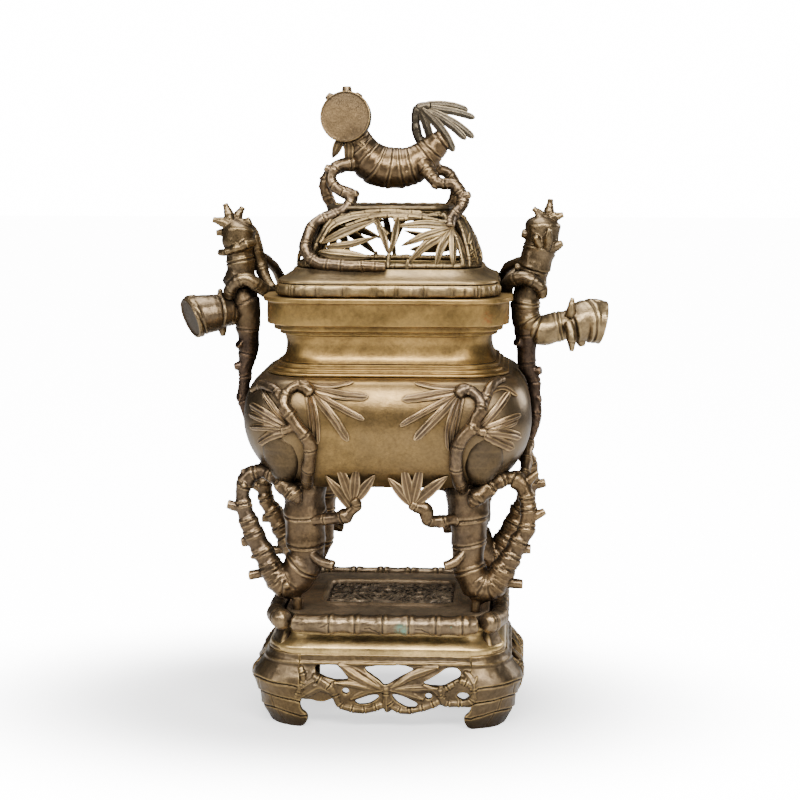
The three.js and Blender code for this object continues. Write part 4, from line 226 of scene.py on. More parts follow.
        {"k":"t","p":[[-22.2,9.0,411.6,6.0],[-34.6,14.0,407.8,4.8],[-46.1,17.0,402.5,4.2],[-50.8,18.0,393.6,4.2],[-49.4,19.0,385.4,4.35],[-46.5,20.0,378.6,4.2],[-44.4,21.0,372.6,3.9],[-42.9,21.0,367.3,3.75]],"s":6},
        {"k":"t","p":[[-50.8,18.0,392.1,3.38],[-55.3,18.0,393.6,2.25]],"s":5},
    ],
    "finial_hindleg_far": [
        {"k":"t","p":[[26.8,9.0,411.6,6.0],[33.3,14.0,404.9,4.65],[39.9,16.0,402.7,4.2],[45.1,17.0,397.5,4.2],[47.4,18.0,390.0,4.5],[45.9,19.0,382.6,4.2],[42.1,20.0,375.8,3.9],[40.6,21.0,369.8,3.75]],"s":6},
        {"k":"t","p":[[48.1,18.0,390.8,3.38],[52.6,18.0,392.3,2.25]],"s":5},
    ],
}

# ------------------------------------------------------------------ materials
def bronze(name, base, dark, gold, rough, gold_amount=0.6, metal=0.95, pit=0.5, green=0.0, corner=None, red=None, cool=None, upper=None):
    """cast bronze: mottled patina, dark patina in the fine grooves and hollows, painted shade under and between parts
    from a broad occlusion, rubbed to gold on the high points
    """
    m = bpy.data.materials.new(name)
    m.use_nodes = True
    nt = m.node_tree
    N, L = nt.nodes, nt.links
    N.clear()
    outn = N.new("ShaderNodeOutputMaterial")
    bs = N.new("ShaderNodeBsdfPrincipled")
    L.new(bs.outputs[0], outn.inputs[0])
    tc = N.new("ShaderNodeTexCoord")
    def noise(scale, detail=6, rough=0.6, dist=0.0):
        n = N.new("ShaderNodeTexNoise")
        n.inputs["Scale"].default_value = scale
        n.inputs["Detail"].default_value = detail
        n.inputs["Roughness"].default_value = rough
        n.inputs["Distortion"].default_value = dist
        L.new(tc.outputs["Object"], n.inputs["Vector"])
        return n.outputs["Fac"]
    def ramp(src, stops):
        r = N.new("ShaderNodeValToRGB")
        r.color_ramp.elements[0].position = stops[0][0]
        r.color_ramp.elements[0].color = stops[0][1]
        r.color_ramp.elements[1].position = stops[-1][0]
        r.color_ramp.elements[1].color = stops[-1][1]
        for p, c in stops[1:-1]:
            e = r.color_ramp.elements.new(p)
            e.color = c
        L.new(src, r.inputs[0])
        return r.outputs[0]
    def put(sock, v):
        if hasattr(v, "is_linked"):
            L.new(v, sock)
        elif isinstance(v, (int, float)):
            sock.default_value = v
        else:
            sock.default_value = (*v, 1)
    def mix(fac, a, b):
        x = N.new("ShaderNodeMix")
        x.data_type = "RGBA"
        put(x.inputs[0], fac)
        put(x.inputs[6], a)
        put(x.inputs[7], b)
        return x.outputs[2]
    def math_(op, a, b=0.0, clamp=True):
        x = N.new("ShaderNodeMath")
        x.operation = op
        x.use_clamp = clamp
        put(x.inputs[0], a)
        put(x.inputs[1], b)
        return x.outputs[0]
    def span(src, a, b):
        x = N.new("ShaderNodeMapRange")
        x.inputs["From Min"].default_value = a
        x.inputs["From Max"].default_value = b
        L.new(src, x.inputs["Value"])
        return x.outputs[0]
    W, K = (1, 1, 1, 1), (0, 0, 0, 1)
    geo = N.new("ShaderNodeNewGeometry")
    edge = ramp(geo.outputs["Pointiness"], [(0.505, K), (0.56, W)])
    cav = ramp(geo.outputs["Pointiness"], [(0.43, W), (0.494, K)])
    # darkening carried by the mesh: real grooves and incised lines, plus painted shade lines under the stand's rolls
    # and round the swellings
    at = N.new("ShaderNodeAttribute")
    at.attribute_name = "groove"
    # painted shade: the broad occlusion darkens the colour under and between parts; the short one below is the patina
    # of the fine hollows
    ao = N.new("ShaderNodeAmbientOcclusion")
    ao.inputs["Distance"].default_value = 0.030
    ao.samples = 8
    painted_shade_ao = ramp(ao.outputs["AO"], [(0.30, K), (0.90, W)])
    ao2 = N.new("ShaderNodeAmbientOcclusion")
    ao2.inputs["Distance"].default_value = 0.0045
    ao2.samples = 8
    aoc = ramp(ao2.outputs["AO"], [(0.42, K), (0.93, W)])
    mott = ramp(noise(34, 8, 0.68, 0.4), [(0.34, K), (0.66, W)])
    fine = ramp(noise(430, 4, 0.7), [(0.40, K), (0.66, W)])
    blot = ramp(noise(120, 6, 0.75, 0.6), [(0.52, K), (0.72, W)])
    c = mix(mott, tuple(v * 0.52 for v in base), tuple(min(v * 1.34, 1) for v in base))
    if cool:
        c = mix(math_("MULTIPLY", ramp(noise(16, 5, 0.6), [(0.42, K), (0.62, W)]), 0.7), c, cool)
    c = mix(math_("MULTIPLY", fine, 0.30), c, dark)
    c = mix(math_("MULTIPLY", blot, 0.42), c, dark)
    sep = N.new("ShaderNodeSeparateXYZ")
    L.new(tc.outputs["Object"], sep.inputs[0])
    if corner:
        ax = math_("ABSOLUTE", math_("SUBTRACT", sep.outputs[0], SX * MM, False), 0, False)
        ay = math_("ABSOLUTE", sep.outputs[1], 0, False)
        f = math_("MULTIPLY", span(ax, 0.050, 0.088), span(ay, 0.030, 0.060))
        f = math_("ADD", f, math_("MULTIPLY", span(ax, 0.030, 0.085), 0.35))
        c = mix(math_("MULTIPLY", f, 0.85), c, corner)
    if upper:
        # towards its top the cane is lighter like the rest of the handle: partly rubbed wear, partly painted light
        # lifting it out of the painted shade of the stem below
        c = mix(math_("MULTIPLY", span(sep.outputs[2], upper[0], upper[1]), 0.9), c, upper[2])
    rub = math_("MULTIPLY", math_("MULTIPLY", edge, math_("ADD", mott, 0.35)), gold_amount)
    c = mix(rub, c, gold)
    # deep: patina in the fine hollows and grooves together with the painted shade of the broad occlusion
    deep = math_("MAXIMUM", math_("SUBTRACT", 1.0, painted_shade_ao), math_("MULTIPLY", cav, 0.75))
    deep = math_("MAXIMUM", deep, math_("MULTIPLY", math_("SUBTRACT", 1.0, aoc), 0.9))
    deep = math_("MAXIMUM", deep, at.outputs["Fac"])
    c = mix(math_("MULTIPLY", deep, 0.93), c, dark)
    def spot(centre, radius, colour, amount):
        nonlocal c
        d = N.new("ShaderNodeVectorMath")
        d.operation = "DISTANCE"
        L.new(tc.outputs["Object"], d.inputs[0])
        d.inputs[1].default_value = centre
        k = N.new("ShaderNodeMapRange")
        k.inputs["From Min"].default_value = radius
        k.inputs["From Max"].default_value = radius * 0.35
        L.new(d.outputs["Value"], k.inputs["Value"])
        k2 = math_("MULTIPLY", k.outputs[0], ramp(noise(260, 4, 0.6), [(0.40, K), (0.58, W)]))
        c = mix(math_("MULTIPLY", k2, amount), c, colour)
    if green > 0:
        g = ramp(noise(95, 3, 0.5), [(0.70, K), (0.74, W)])
        c = mix(math_("MULTIPLY", g, green), c, (0.10, 0.28, 0.19))
        spot(((12.5 + SX) * MM, -0.0805, 0.0775), 0.0065, (0.16, 0.34, 0.25), 0.8)
    if red:
        spot(red, 0.007, (0.36, 0.10, 0.03), 0.75)
    L.new(c, bs.inputs["Base Color"])
    rr_ = N.new("ShaderNodeMapRange")
    rr_.inputs["To Min"].default_value = rough - 0.10
    rr_.inputs["To Max"].default_value = rough + 0.13
    L.new(noise(75, 6, 0.7), rr_.inputs["Value"])
    r2 = math_("ADD", rr_.outputs[0], math_("MULTIPLY", deep, 0.22))
    L.new(r2, bs.inputs["Roughness"])
    bs.inputs["Metallic"].default_value = metal
    b1 = N.new("ShaderNodeBump")
    b1.inputs["Strength"].default_value = 0.30 * pit
    b1.inputs["Distance"].default_value = 0.0006
    L.new(noise(560, 5, 0.6), b1.inputs["Height"])
    b2 = N.new("ShaderNodeBump")
    b2.inputs["Strength"].default_value = 0.40 * pit
    b2.inputs["Distance"].default_value = 0.001
    L.new(noise(105, 5, 0.6), b2.inputs["Height"])
    L.new(b1.outputs[0], b2.inputs["Normal"])
    L.new(b2.outputs[0], bs.inputs["Normal"])
    return m

DK = (0.018, 0.012, 0.007)
M_BELLY = bronze("belly_bronze", (0.215, 0.136, 0.048), (0.040, 0.026, 0.013), (0.50, 0.34, 0.14), 0.31, 0.5, 0.96, 0.55, corner=(0.105, 0.078, 0.050), cool=(0.175, 0.116, 0.052))
M_POL = bronze("rubbed_bronze", (0.330, 0.205, 0.066), (0.045, 0.028, 0.012), (0.64, 0.42, 0.15), 0.33, 0.5, 0.97, 0.4, red=((74 + SX) * MM, -0.066, 0.301))
# the swelling over each leg: dark patina together with painted shade, the swelling lying in shadow under the leaves
M_LOBE = bronze("swell_bronze", (0.092, 0.062, 0.030), (0.022, 0.015, 0.009), (0.42, 0.28, 0.12), 0.33, 0.5, 0.95, 0.55, cool=(0.066, 0.049, 0.032))
# dark stems: their own dark patina together with painted shade, the stems lying in shadow behind the handles
M_STEM = bronze("stem_bronze", (0.062, 0.040, 0.027), (0.012, 0.008, 0.006), (0.30, 0.19, 0.10), 0.36, 0.7, 0.93, 0.8, upper=(0.279, 0.292, (0.110, 0.073, 0.036)))
# pale base colour: painted reflection, standing in for the bright sheen on the plate's lit front strip
M_PLATE = bronze("plate_bronze", (0.380, 0.275, 0.170), (0.020, 0.014, 0.009), (0.50, 0.36, 0.18), 0.40, 0.6, 0.93, 0.6)
# pale gold base: the band's golden tone raised further as painted light, to lift it out of the rail's shadow
M_WAIST = bronze("waist_bronze", (0.620, 0.425, 0.170), (0.110, 0.074, 0.034), (0.78, 0.56, 0.25), 0.30, 0.5, 0.97, 0.4)
M_AGED = bronze("aged_bronze", (0.142, 0.092, 0.046), DK, (0.52, 0.355, 0.175), 0.31, 0.85, 0.95, 0.6, cool=(0.088, 0.065, 0.047))
M_RAIL = bronze("rail_bronze", (0.200, 0.140, 0.078), DK, (0.52, 0.36, 0.17), 0.33, 0.8, 0.94, 0.7, green=0.7, cool=(0.150, 0.112, 0.072))
M_STAND = bronze("stand_bronze", (0.150, 0.100, 0.046), DK, (0.52, 0.35, 0.14), 0.35, 0.95, 0.94, 0.7, cool=(0.100, 0.073, 0.045))
M_LID = bronze("lid_bronze", (0.155, 0.107, 0.050), DK, (0.48, 0.33, 0.14), 0.34, 0.8, 0.94, 0.6, cool=(0.110, 0.083, 0.050))
M_DARK = bronze("dark_bronze", (0.270, 0.205, 0.140), (0.010, 0.007, 0.005), (0.42, 0.33, 0.21), 0.40, 0.6, 0.9, 0.8)
M_CANE = bronze("handle_bronze", (0.160, 0.108, 0.052), DK, (0.44, 0.31, 0.14), 0.31, 0.5, 0.95, 0.6, cool=(0.110, 0.081, 0.052))
M_BRANCH = bronze("branch_bronze", (0.260, 0.184, 0.092), DK, (0.60, 0.43, 0.20), 0.33, 0.6, 0.95, 0.6, cool=(0.175, 0.130, 0.080))
M_HEAD = bronze("disc_bronze", (0.108, 0.070, 0.033), DK, (0.40, 0.27, 0.12), 0.33, 0.7, 0.95, 0.5, cool=(0.082, 0.058, 0.034))
M_RIMS = bronze("lid_rim_bronze", (0.270, 0.185, 0.080), DK, (0.58, 0.40, 0.17), 0.36, 0.8, 0.95, 0.6, cool=(0.190, 0.142, 0.085))
M_TAIL = bronze("tail_bronze", (0.062, 0.050, 0.034), (0.010, 0.008, 0.006), (0.22, 0.17, 0.10), 0.36, 0.6, 0.94, 0.6, cool=(0.050, 0.046, 0.036))

# ------------------------------------------------------------------ mesh helpers
def volume(V, F):
    v = 0.0
    for f in F:
        a = V[f[0]]
        for i in range(1, len(f) - 1):
            v += float(np.dot(a, np.cross(V[f[i]], V[f[i + 1]])))
    return v

def make(name, V, F, mat, body, nodes, angle=38, bevel=0.0, groove=None, smooth_all=False):
    me = bpy.data.meshes.new(name)
    V = np.asarray(V, float).copy()
    V[:, 0] += SX
    if isinstance(F, np.ndarray):
        me.vertices.add(len(V))
        me.vertices.foreach_set("co", (V * MM).ravel())
        k = F.shape[1]
        me.loops.add(F.size)
        me.loops.foreach_set("vertex_index", F.ravel())
        me.polygons.add(len(F))
        me.polygons.foreach_set("loop_start", np.arange(0, F.size, k))
        me.polygons.foreach_set("loop_total", np.full(len(F), k))
    else:
        me.from_pydata([tuple(v) for v in V * MM], [], F)
    me.update(calc_edges=True)
    me.validate()
    me.polygons.foreach_set("use_smooth", [True] * len(me.polygons))
    if not smooth_all:
        me.set_sharp_from_angle(angle=math.radians(angle))
    at = me.attributes.new("groove", "FLOAT", "POINT")
    if groove is not None and len(groove) == len(me.vertices):
        at.data.foreach_set("value", np.asarray(groove, float))
    me.materials.append(mat)
    o = bpy.data.objects.new(name, me)
    bpy.context.scene.collection.objects.link(o)
    if bevel:
        b = o.modifiers.new("soft_edges", "BEVEL")
        b.width = bevel * MM
        b.segments = 2
        b.limit_method = "ANGLE"
        b.angle_limit = math.radians(35)
        b.harden_normals = False
    if nodes:
        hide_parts(*nodes)
    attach(o, body)
    return o

def remesh(V, F, voxel):
    """fuse closed shells into one skin of even quads"""
    me = bpy.data.meshes.new("tmp")
    me.from_pydata([tuple(v) for v in np.asarray(V, float) * MM], [], F)
    me.update()
    o = bpy.data.objects.new("tmp", me)
    bpy.context.scene.collection.objects.link(o)
    md = o.modifiers.new("r", "REMESH")
    md.mode = "VOXEL"
    md.voxel_size = voxel * MM
    md.adaptivity = 0.0
    dg = bpy.context.evaluated_depsgraph_get()
    ev = o.evaluated_get(dg)
    m2 = ev.to_mesh()
    n = len(m2.vertices)
    A = np.empty(n * 3)
    m2.vertices.foreach_get("co", A)
    A = A.reshape(-1, 3) / MM
    ls = np.empty(len(m2.loops), dtype=np.int64)
    m2.loops.foreach_get("vertex_index", ls)
    tot = np.empty(len(m2.polygons), dtype=np.int64)
    m2.polygons.foreach_get("loop_total", tot)
    assert (tot == 4).all()
    Q = ls.reshape(-1, 4)
    ev.to_mesh_clear()
    bpy.data.objects.remove(o)
    bpy.data.meshes.remove(me)
    return keep_largest(A, Q)

def keep_largest(V, Q, share=0.02):
    """drop crumbs that are not joined to the main body"""
    n = len(V)
    lab = np.arange(n)
    E = np.concatenate([Q[:, [0, 1]], Q[:, [1, 2]], Q[:, [2, 3]], Q[:, [3, 0]]])
    while True:
        m = np.minimum(lab[E[:, 0]], lab[E[:, 1]])
        new = lab.copy()
        np.minimum.at(new, E[:, 0], m)
        np.minimum.at(new, E[:, 1], m)
        new = new[new]
        new = new[new]
        if (new == lab).all():
            break
        lab = new
    u, inv, cnt = np.unique(lab, return_inverse=True, return_counts=True)
    if len(u) == 1:
        return V, Q
    keep = cnt[inv] > share * n
    idx = np.cumsum(keep) - 1
    return V[keep], idx[Q[keep[Q[:, 0]]]]

def relax(V, Q, it, lam=0.5, w=None):
    n = len(V)
    E = np.concatenate([Q[:, [0, 1]], Q[:, [1, 2]], Q[:, [2, 3]], Q[:, [3, 0]]])
    a = np.concatenate([E[:, 0], E[:, 1]])
    b = np.concatenate([E[:, 1], E[:, 0]])
    deg = np.bincount(a, minlength=n).astype(float)
    for _ in range(it):
        S = np.stack([np.bincount(a, weights=V[b, k], minlength=n) for k in range(3)], 1)
        d = S / deg[:, None] - V
        V = V + d * (lam if w is None else lam * w[:, None])
    return V

def normals(V, Q):
    n = np.cross(V[Q[:, 2]] - V[Q[:, 0]], V[Q[:, 3]] - V[Q[:, 1]])
    out = np.zeros_like(V)
    for k in range(4):
        for c in range(3):
            out[:, c] += np.bincount(Q[:, k], weights=n[:, c], minlength=len(V))
    return out / (np.linalg.norm(out, axis=1)[:, None] + 1e-12)

def rng_for(name):
    return np.random.RandomState(zlib.crc32(name.encode()) & 0x7FFFFFFF)

def waves(V, scale, seed, count=14):
    """smooth pseudo-random field of about unit size, wavelength about scale mm"""
    r = np.random.RandomState(seed)
    D = r.normal(size=(count, 3))
    D /= np.linalg.norm(D, axis=1)[:, None]
    K = D * (2 * math.pi / (scale * r.uniform(0.7, 1.5, count)))[:, None]
    ph = r.uniform(0, 2 * math.pi, count)
    return np.sin(V @ K.T + ph).sum(1) / math.sqrt(count / 2)

def rr_even(n, hw, hd, r, cy=0.0):
    """rounded rectangle walked at even steps, starting in the middle of the right side"""
    sx, sy, arc = 2 * (hw - r), 2 * (hd - r), math.pi * r / 2
    per = 2 * sx + 2 * sy + 4 * arc
    segs = [("l", (hw, 0), (0, 1), sy / 2), ("a", (hw - r, hd - r), 0, arc), ("l", (hw - r, hd), (-1, 0), sx), ("a", (-(hw - r), hd - r), 1, arc),
            ("l", (-hw, hd - r), (0, -1), sy), ("a", (-(hw - r), -(hd - r)), 2, arc), ("l", (-(hw - r), -hd), (1, 0), sx), ("a", (hw - r, -(hd - r)), 3, arc), ("l", (hw, -(hd - r)), (0, 1), sy / 2)]
    pts = []
    for i in range(n):
        s = i / n * per
        for sg in segs:
            if s <= sg[3] + 1e-9:
                if sg[0] == "l":
                    pts.append((sg[1][0] + sg[2][0] * s, sg[1][1] + sg[2][1] * s + cy))
                else:
                    a = (sg[2] + s / sg[3]) * math.pi / 2
                    pts.append((sg[1][0] + r * math.cos(a), sg[1][1] + r * math.sin(a) + cy))
                break
            s -= sg[3]
        else:
            pts.append((hw, cy))
    return pts

NR = 200
def loft(prof, n=NR, closed=False, push=None):
    V, F = [], []
    for j, q in enumerate(prof):
        hw, hd, r, z = q[:4]
        cy = q[4] if len(q) > 4 else 0.0
        P = rr_even(n, hw, hd, r, cy)
        for i, (x, y) in enumerate(P):
            if push is not None:
                k = push(j, i)
                if k:
                    a, b = P[(i + 1) % n], P[i - 1]
                    tx, ty = a[0] - b[0], a[1] - b[1]
                    l = math.hypot(tx, ty) or 1
                    x, y = x + ty / l * k, y - tx / l * k
            V.append((x, y, z))
    m = len(prof)
    for j in range(m - 1 if not closed else m):
        a, b = j * n, ((j + 1) % m) * n
        for i in range(n):
            k = (i + 1) % n
            F.append((a + i, a + k, b + k, b + i))
    if not closed:
        F.append(tuple(range(n - 1, -1, -1)))
        F.append(tuple((m - 1) * n + i for i in range(n)))
    return V, F

def catmull(P, sub):
    P = np.asarray(P, float)
    n = len(P)
    if n < 3:
        return np.array([P[0] + (P[-1] - P[0]) * t for t in np.linspace(0, 1, sub + 1)])
    out = []
    for i in range(n - 1):
        p0, p1, p2, p3 = P[max(i - 1, 0)], P[i], P[i + 1], P[min(i + 2, n - 1)]
        for k in range(sub):
            t = k / sub
            out.append(0.5 * ((2 * p1) + (-p0 + p2) * t + (2 * p0 - 5 * p1 + 4 * p2 - p3) * t * t + (-p0 + 3 * p1 - 3 * p2 + p3) * t ** 3))
    out.append(P[-1])
    return np.array(out)

def frames(C, ref=None):
    T = np.gradient(C, axis=0)
    T /= np.linalg.norm(T, axis=1)[:, None] + 1e-12
    fixed = ref is not None
    r = np.array(ref if fixed else ((0, 1, 0) if abs(T[0][1]) < 0.8 else (1, 0, 0)), float)
    A, B = [], []
    for i, t in enumerate(T):
        rr = r[i] if r.ndim == 2 else r
        a = rr - t * rr.dot(t)
        a /= np.linalg.norm(a) + 1e-12
        if not fixed:
            r = a
        A.append(a)
        B.append(np.cross(t, a))
    return T, np.array(A), np.array(B)

def line(pts, step=0.8):
    """even samples along a cane: centres, radii, distance"""
    Q = catmull(pts, 8)
    d = np.r_[0, np.cumsum(np.linalg.norm(np.diff(Q[:, :3], axis=0), axis=1))]
    n = max(int(d[-1] / step), 5)
    s = np.linspace(0, d[-1], n + 1)
    C = np.array([np.interp(s, d, Q[:, k]) for k in range(3)]).T
    R = np.interp(s, d, Q[:, 3])
    return C, R, s

def pipe(C, R, sides=20, round_end=0.25):
    T, A, B = frames(C)
    V, F, rings = [], [], []
    def ring(c, a, b, r):
        rings.append(len(V))
        for k in range(sides):
            t = 2 * math.pi * k / sides
            V.append(tuple(c + (a * math.cos(t) + b * math.sin(t)) * r))
    e0, e1 = round_end if isinstance(round_end, tuple) else (round_end, round_end)
    if e0:
        ring(C[0] - T[0] * e0 * R[0], A[0], B[0], R[0] * 0.66)
    for i in range(len(C)):
        ring(C[i], A[i], B[i], R[i])
    if e1:
        ring(C[-1] + T[-1] * e1 * R[-1], A[-1], B[-1], R[-1] * 0.66)
    for p, q in zip(rings, rings[1:]):
        for k in range(sides):
            l = (k + 1) % sides
            F.append((p + k, p + l, q + l, q + k))
    F.append(tuple(rings[0] + k for k in range(sides - 1, -1, -1)))
    F.append(tuple(rings[-1] + k for k in range(sides)))
    return V, F

def ball(c, r, n=10, m=7):
    V, F = [(c[0], c[1], c[2] - r)], []
    for j in range(1, m):
        t = math.pi * j / m
        for i in range(n):
            a = 2 * math.pi * i / n
            V.append((c[0] + r * math.sin(t) * math.cos(a), c[1] + r * math.sin(t) * math.sin(a), c[2] - r * math.cos(t)))
    V.append((c[0], c[1], c[2] + r))
    for i in range(n):
        F.append((0, 1 + (i + 1) % n, 1 + i))
        F.append((len(V) - 1, 1 + (m - 2) * n + i, 1 + (m - 2) * n + (i + 1) % n))
    for j in range(m - 2):
        for i in range(n):
            a, b = 1 + j * n + i, 1 + j * n + (i + 1) % n
            F.append((a, b, b + n, a + n))
    return V, F

def leaf(pts, thick, nrm, across=11, along=30, root=0.2, fat=1.12, blunt=0.0):
    """pointed bamboo leaf with a raised midrib and two folds; pts [x,y,z,half width]"""
    Q = catmull(pts, 10)
    d = np.r_[0, np.cumsum(np.linalg.norm(np.diff(Q[:, :3], axis=0), axis=1))]
    s = np.linspace(0, d[-1], along)
    C = np.array([np.interp(s, d, Q[:, k]) for k in range(3)]).T
    f = np.linspace(0, 1, along)
    wmax = max(q[3] for q in pts)
    W = wmax * fat * np.clip(np.sin(np.pi * np.clip(f, 0, 1) ** 0.78) ** 0.66, 0.03, 1)
    if blunt:
        # nearly parallel sides and a rounded end
        P = wmax * fat * np.minimum(1, 0.5 + f / 0.36) * np.sqrt(np.clip((1.012 - f) / 0.09, 0, 1))
        W = W * (1 - blunt) + P * blunt
    W = np.maximum(W, root * wmax * (1 - f))
    nn = np.array(nrm, float)
    if nn.ndim == 2:
        x = np.linspace(0, 1, len(nn))
        nn = np.array([np.interp(f, x, nn[:, k]) for k in range(3)]).T
    T, A, B = frames(C, nn)
    V, F, G = [], [], []
    for i in range(along):
        taper = 0.55 + 0.45 * min(1, (1 - f[i]) * 4)
        for side in (1, -1):
            for k in range(across):
                u = -1 + 2 * k / (across - 1)
                edge = math.sqrt(max(1 - u * u * 0.85, 0.05))
                h = thick * 0.5 * edge
                if side > 0:
                    h += thick * 0.14 * math.exp(-(u / 0.14) ** 2) - thick * 0.10 * math.exp(-((abs(u) - 0.45) / 0.2) ** 2)
                h *= taper
                V.append(tuple(C[i] + B[i] * (u if side > 0 else -u) * W[i] + A[i] * side * h))
                G.append(0.22 * math.exp(-((abs(u) - 0.22) / 0.10) ** 2) if side > 0 else 0.0)
    m = 2 * across
    for i in range(along - 1):
        for k in range(m):
            l = (k + 1) % m
            F.append((i * m + k, i * m + l, (i + 1) * m + l, (i + 1) * m + k))
    F.append(tuple(range(m - 1, -1, -1)))
    F.append(tuple((along - 1) * m + k for k in range(m)))
    return V, F, G

def merge(parts):
    V, F = [], []
    for p in parts:
        o = len(V)
        V += list(p[0])
        F += [tuple(o + i for i in q) for q in p[1]]
    return V, F

# ------------------------------------------------------------------ shapes the cast pieces lie on
def interp_rows(rows, z, key):
    zs = [r[key] for r in rows]
    return [np.interp(z, zs, [r[i] for r in rows]) for i in range(len(rows[0])) if i != key]

def belly_dims(z):
    return interp_rows(BELLY, z, 0)            # hw, hd, r

def belly_normal(x, y, z):
    hw, hd, r = [float(v) for v in belly_dims(z)]
    cx = max(-(hw - r), min(hw - r, x))
    cy = max(-(hd - r), min(hd - r, y))
    dx, dy = x - cx, y - cy
    L = math.hypot(dx, dy) or 1
    a, b = float(belly_dims(z - 3)[0]), float(belly_dims(z + 3)[0])
    v = np.array([dx / L, dy / L, (a - b) / 6])
    return v / np.linalg.norm(v)

def to_belly(q, off):
    """the point of the belly nearest to q, off mm proud of it"""
    x, y, z = q[:3]
    hw, hd, r = [float(v) for v in belly_dims(z)]
    cx = max(-(hw - r), min(hw - r, x))
    cy = max(-(hd - r), min(hd - r, y))
    dx, dy = x - cx, y - cy
    L = math.hypot(dx, dy) or 1
    n = belly_normal(x, y, z)
    return [cx + dx / L * r + n[0] * off, cy + dy / L * r + n[1] * off, z + n[2] * off]

def clear_of_belly(V, deep=1.6):
    """nothing reaches through the bowl's wall: what lies deeper is drawn back under the skin"""
    z = V[:, 2]
    hw, hd, r = belly_dims(z)
    cx = np.clip(V[:, 0], -(hw - r), hw - r)
    cy = np.clip(V[:, 1], -(hd - r), hd - r)
    dx, dy = V[:, 0] - cx, V[:, 1] - cy
    L = np.hypot(dx, dy)
    sd = L - r
    inside = (z > BELLY[0][0] + 1.2) & (z < 268) & (sd < -deep)
    down = z - (BELLY[0][0] + 1.2)
    side = -deep - sd
    W = V.copy()
    g = inside & (down < side)
    W[g, 2] = BELLY[0][0] + 1.2
    g = inside & (down >= side)
    k = (r - deep) / np.maximum(L, 1e-6)
    W[g, 0] = (cx + dx * k)[g]
    W[g, 1] = (cy + dy * k)[g]
    return W

def press_to_belly(V, lim):
    """keep a swelling low: it rises at most about lim mm over the bowl"""
    z = V[:, 2]
    hw, hd, r = belly_dims(z)
    cx = np.clip(V[:, 0], -(hw - r), hw - r)
    cy = np.clip(V[:, 1], -(hd - r), hd - r)
    dx, dy = V[:, 0] - cx, V[:, 1] - cy
    L = np.maximum(np.hypot(dx, dy), 1e-6)
    sd = L - r
    w = np.clip((z - BELLY[0][0] - 4) / 22, 0, 1)
    new = np.where(sd > 0, sd * (1 - w) + lim * np.tanh(sd / (lim * 1.6)) * w, sd)
    W = V.copy()
    W[:, 0] = cx + dx / L * (r + new)
    W[:, 1] = cy + dy / L * (r + new)
    return W, np.where(sd > 0, new, 0)

def dome_dims(z):
    return interp_rows(DOME, z, 3)             # hw, hd, r

def dome_point(side, a, z, off=0.0):
    """a point of the dome: side is front, back, left or right, a the sideways distance"""
    hw, hd, r = [float(v) for v in dome_dims(z)]
    if side in ("left", "right"):
        hw, hd = hd, hw
    a2 = max(-(hw - 0.4), min(hw - 0.4, a))
    c = hw - r
    if abs(a2) <= c:
        y, nx, ny = -hd, 0.0, -1.0
    else:
        e = abs(a2) - c
        h = math.sqrt(max(r * r - e * e, 0))
        y, nx, ny = -(hd - r) - h, math.copysign(e / r, a2), -h / r
    d0, d1 = dome_dims(z - 2), dome_dims(z + 2)
    i = 1 if side in ("front", "back") else 0
    up = (float(d0[i]) - float(d1[i])) / 4
    n = np.array([nx, ny, up])
    n /= np.linalg.norm(n)
    p = np.array([a2, y, z]) + n * off
    t = {"front": 0, "right": 1, "back": 2, "left": 3}[side]
    for _ in range(t):
        p = np.array([-p[1], p[0], p[2]])
        n = np.array([-n[1], n[0], n[2]])
    return p, n

def turned(es):
    out = []
    for e in es:
        f = dict(e)
        f["p"] = [[-q[0], -q[1], q[2], q[3]] for q in e["p"]]
        if "n" in e:
            f["n"] = [-e["n"][0], -e["n"][1], e["n"][2]]
        out.append(f)
    return out

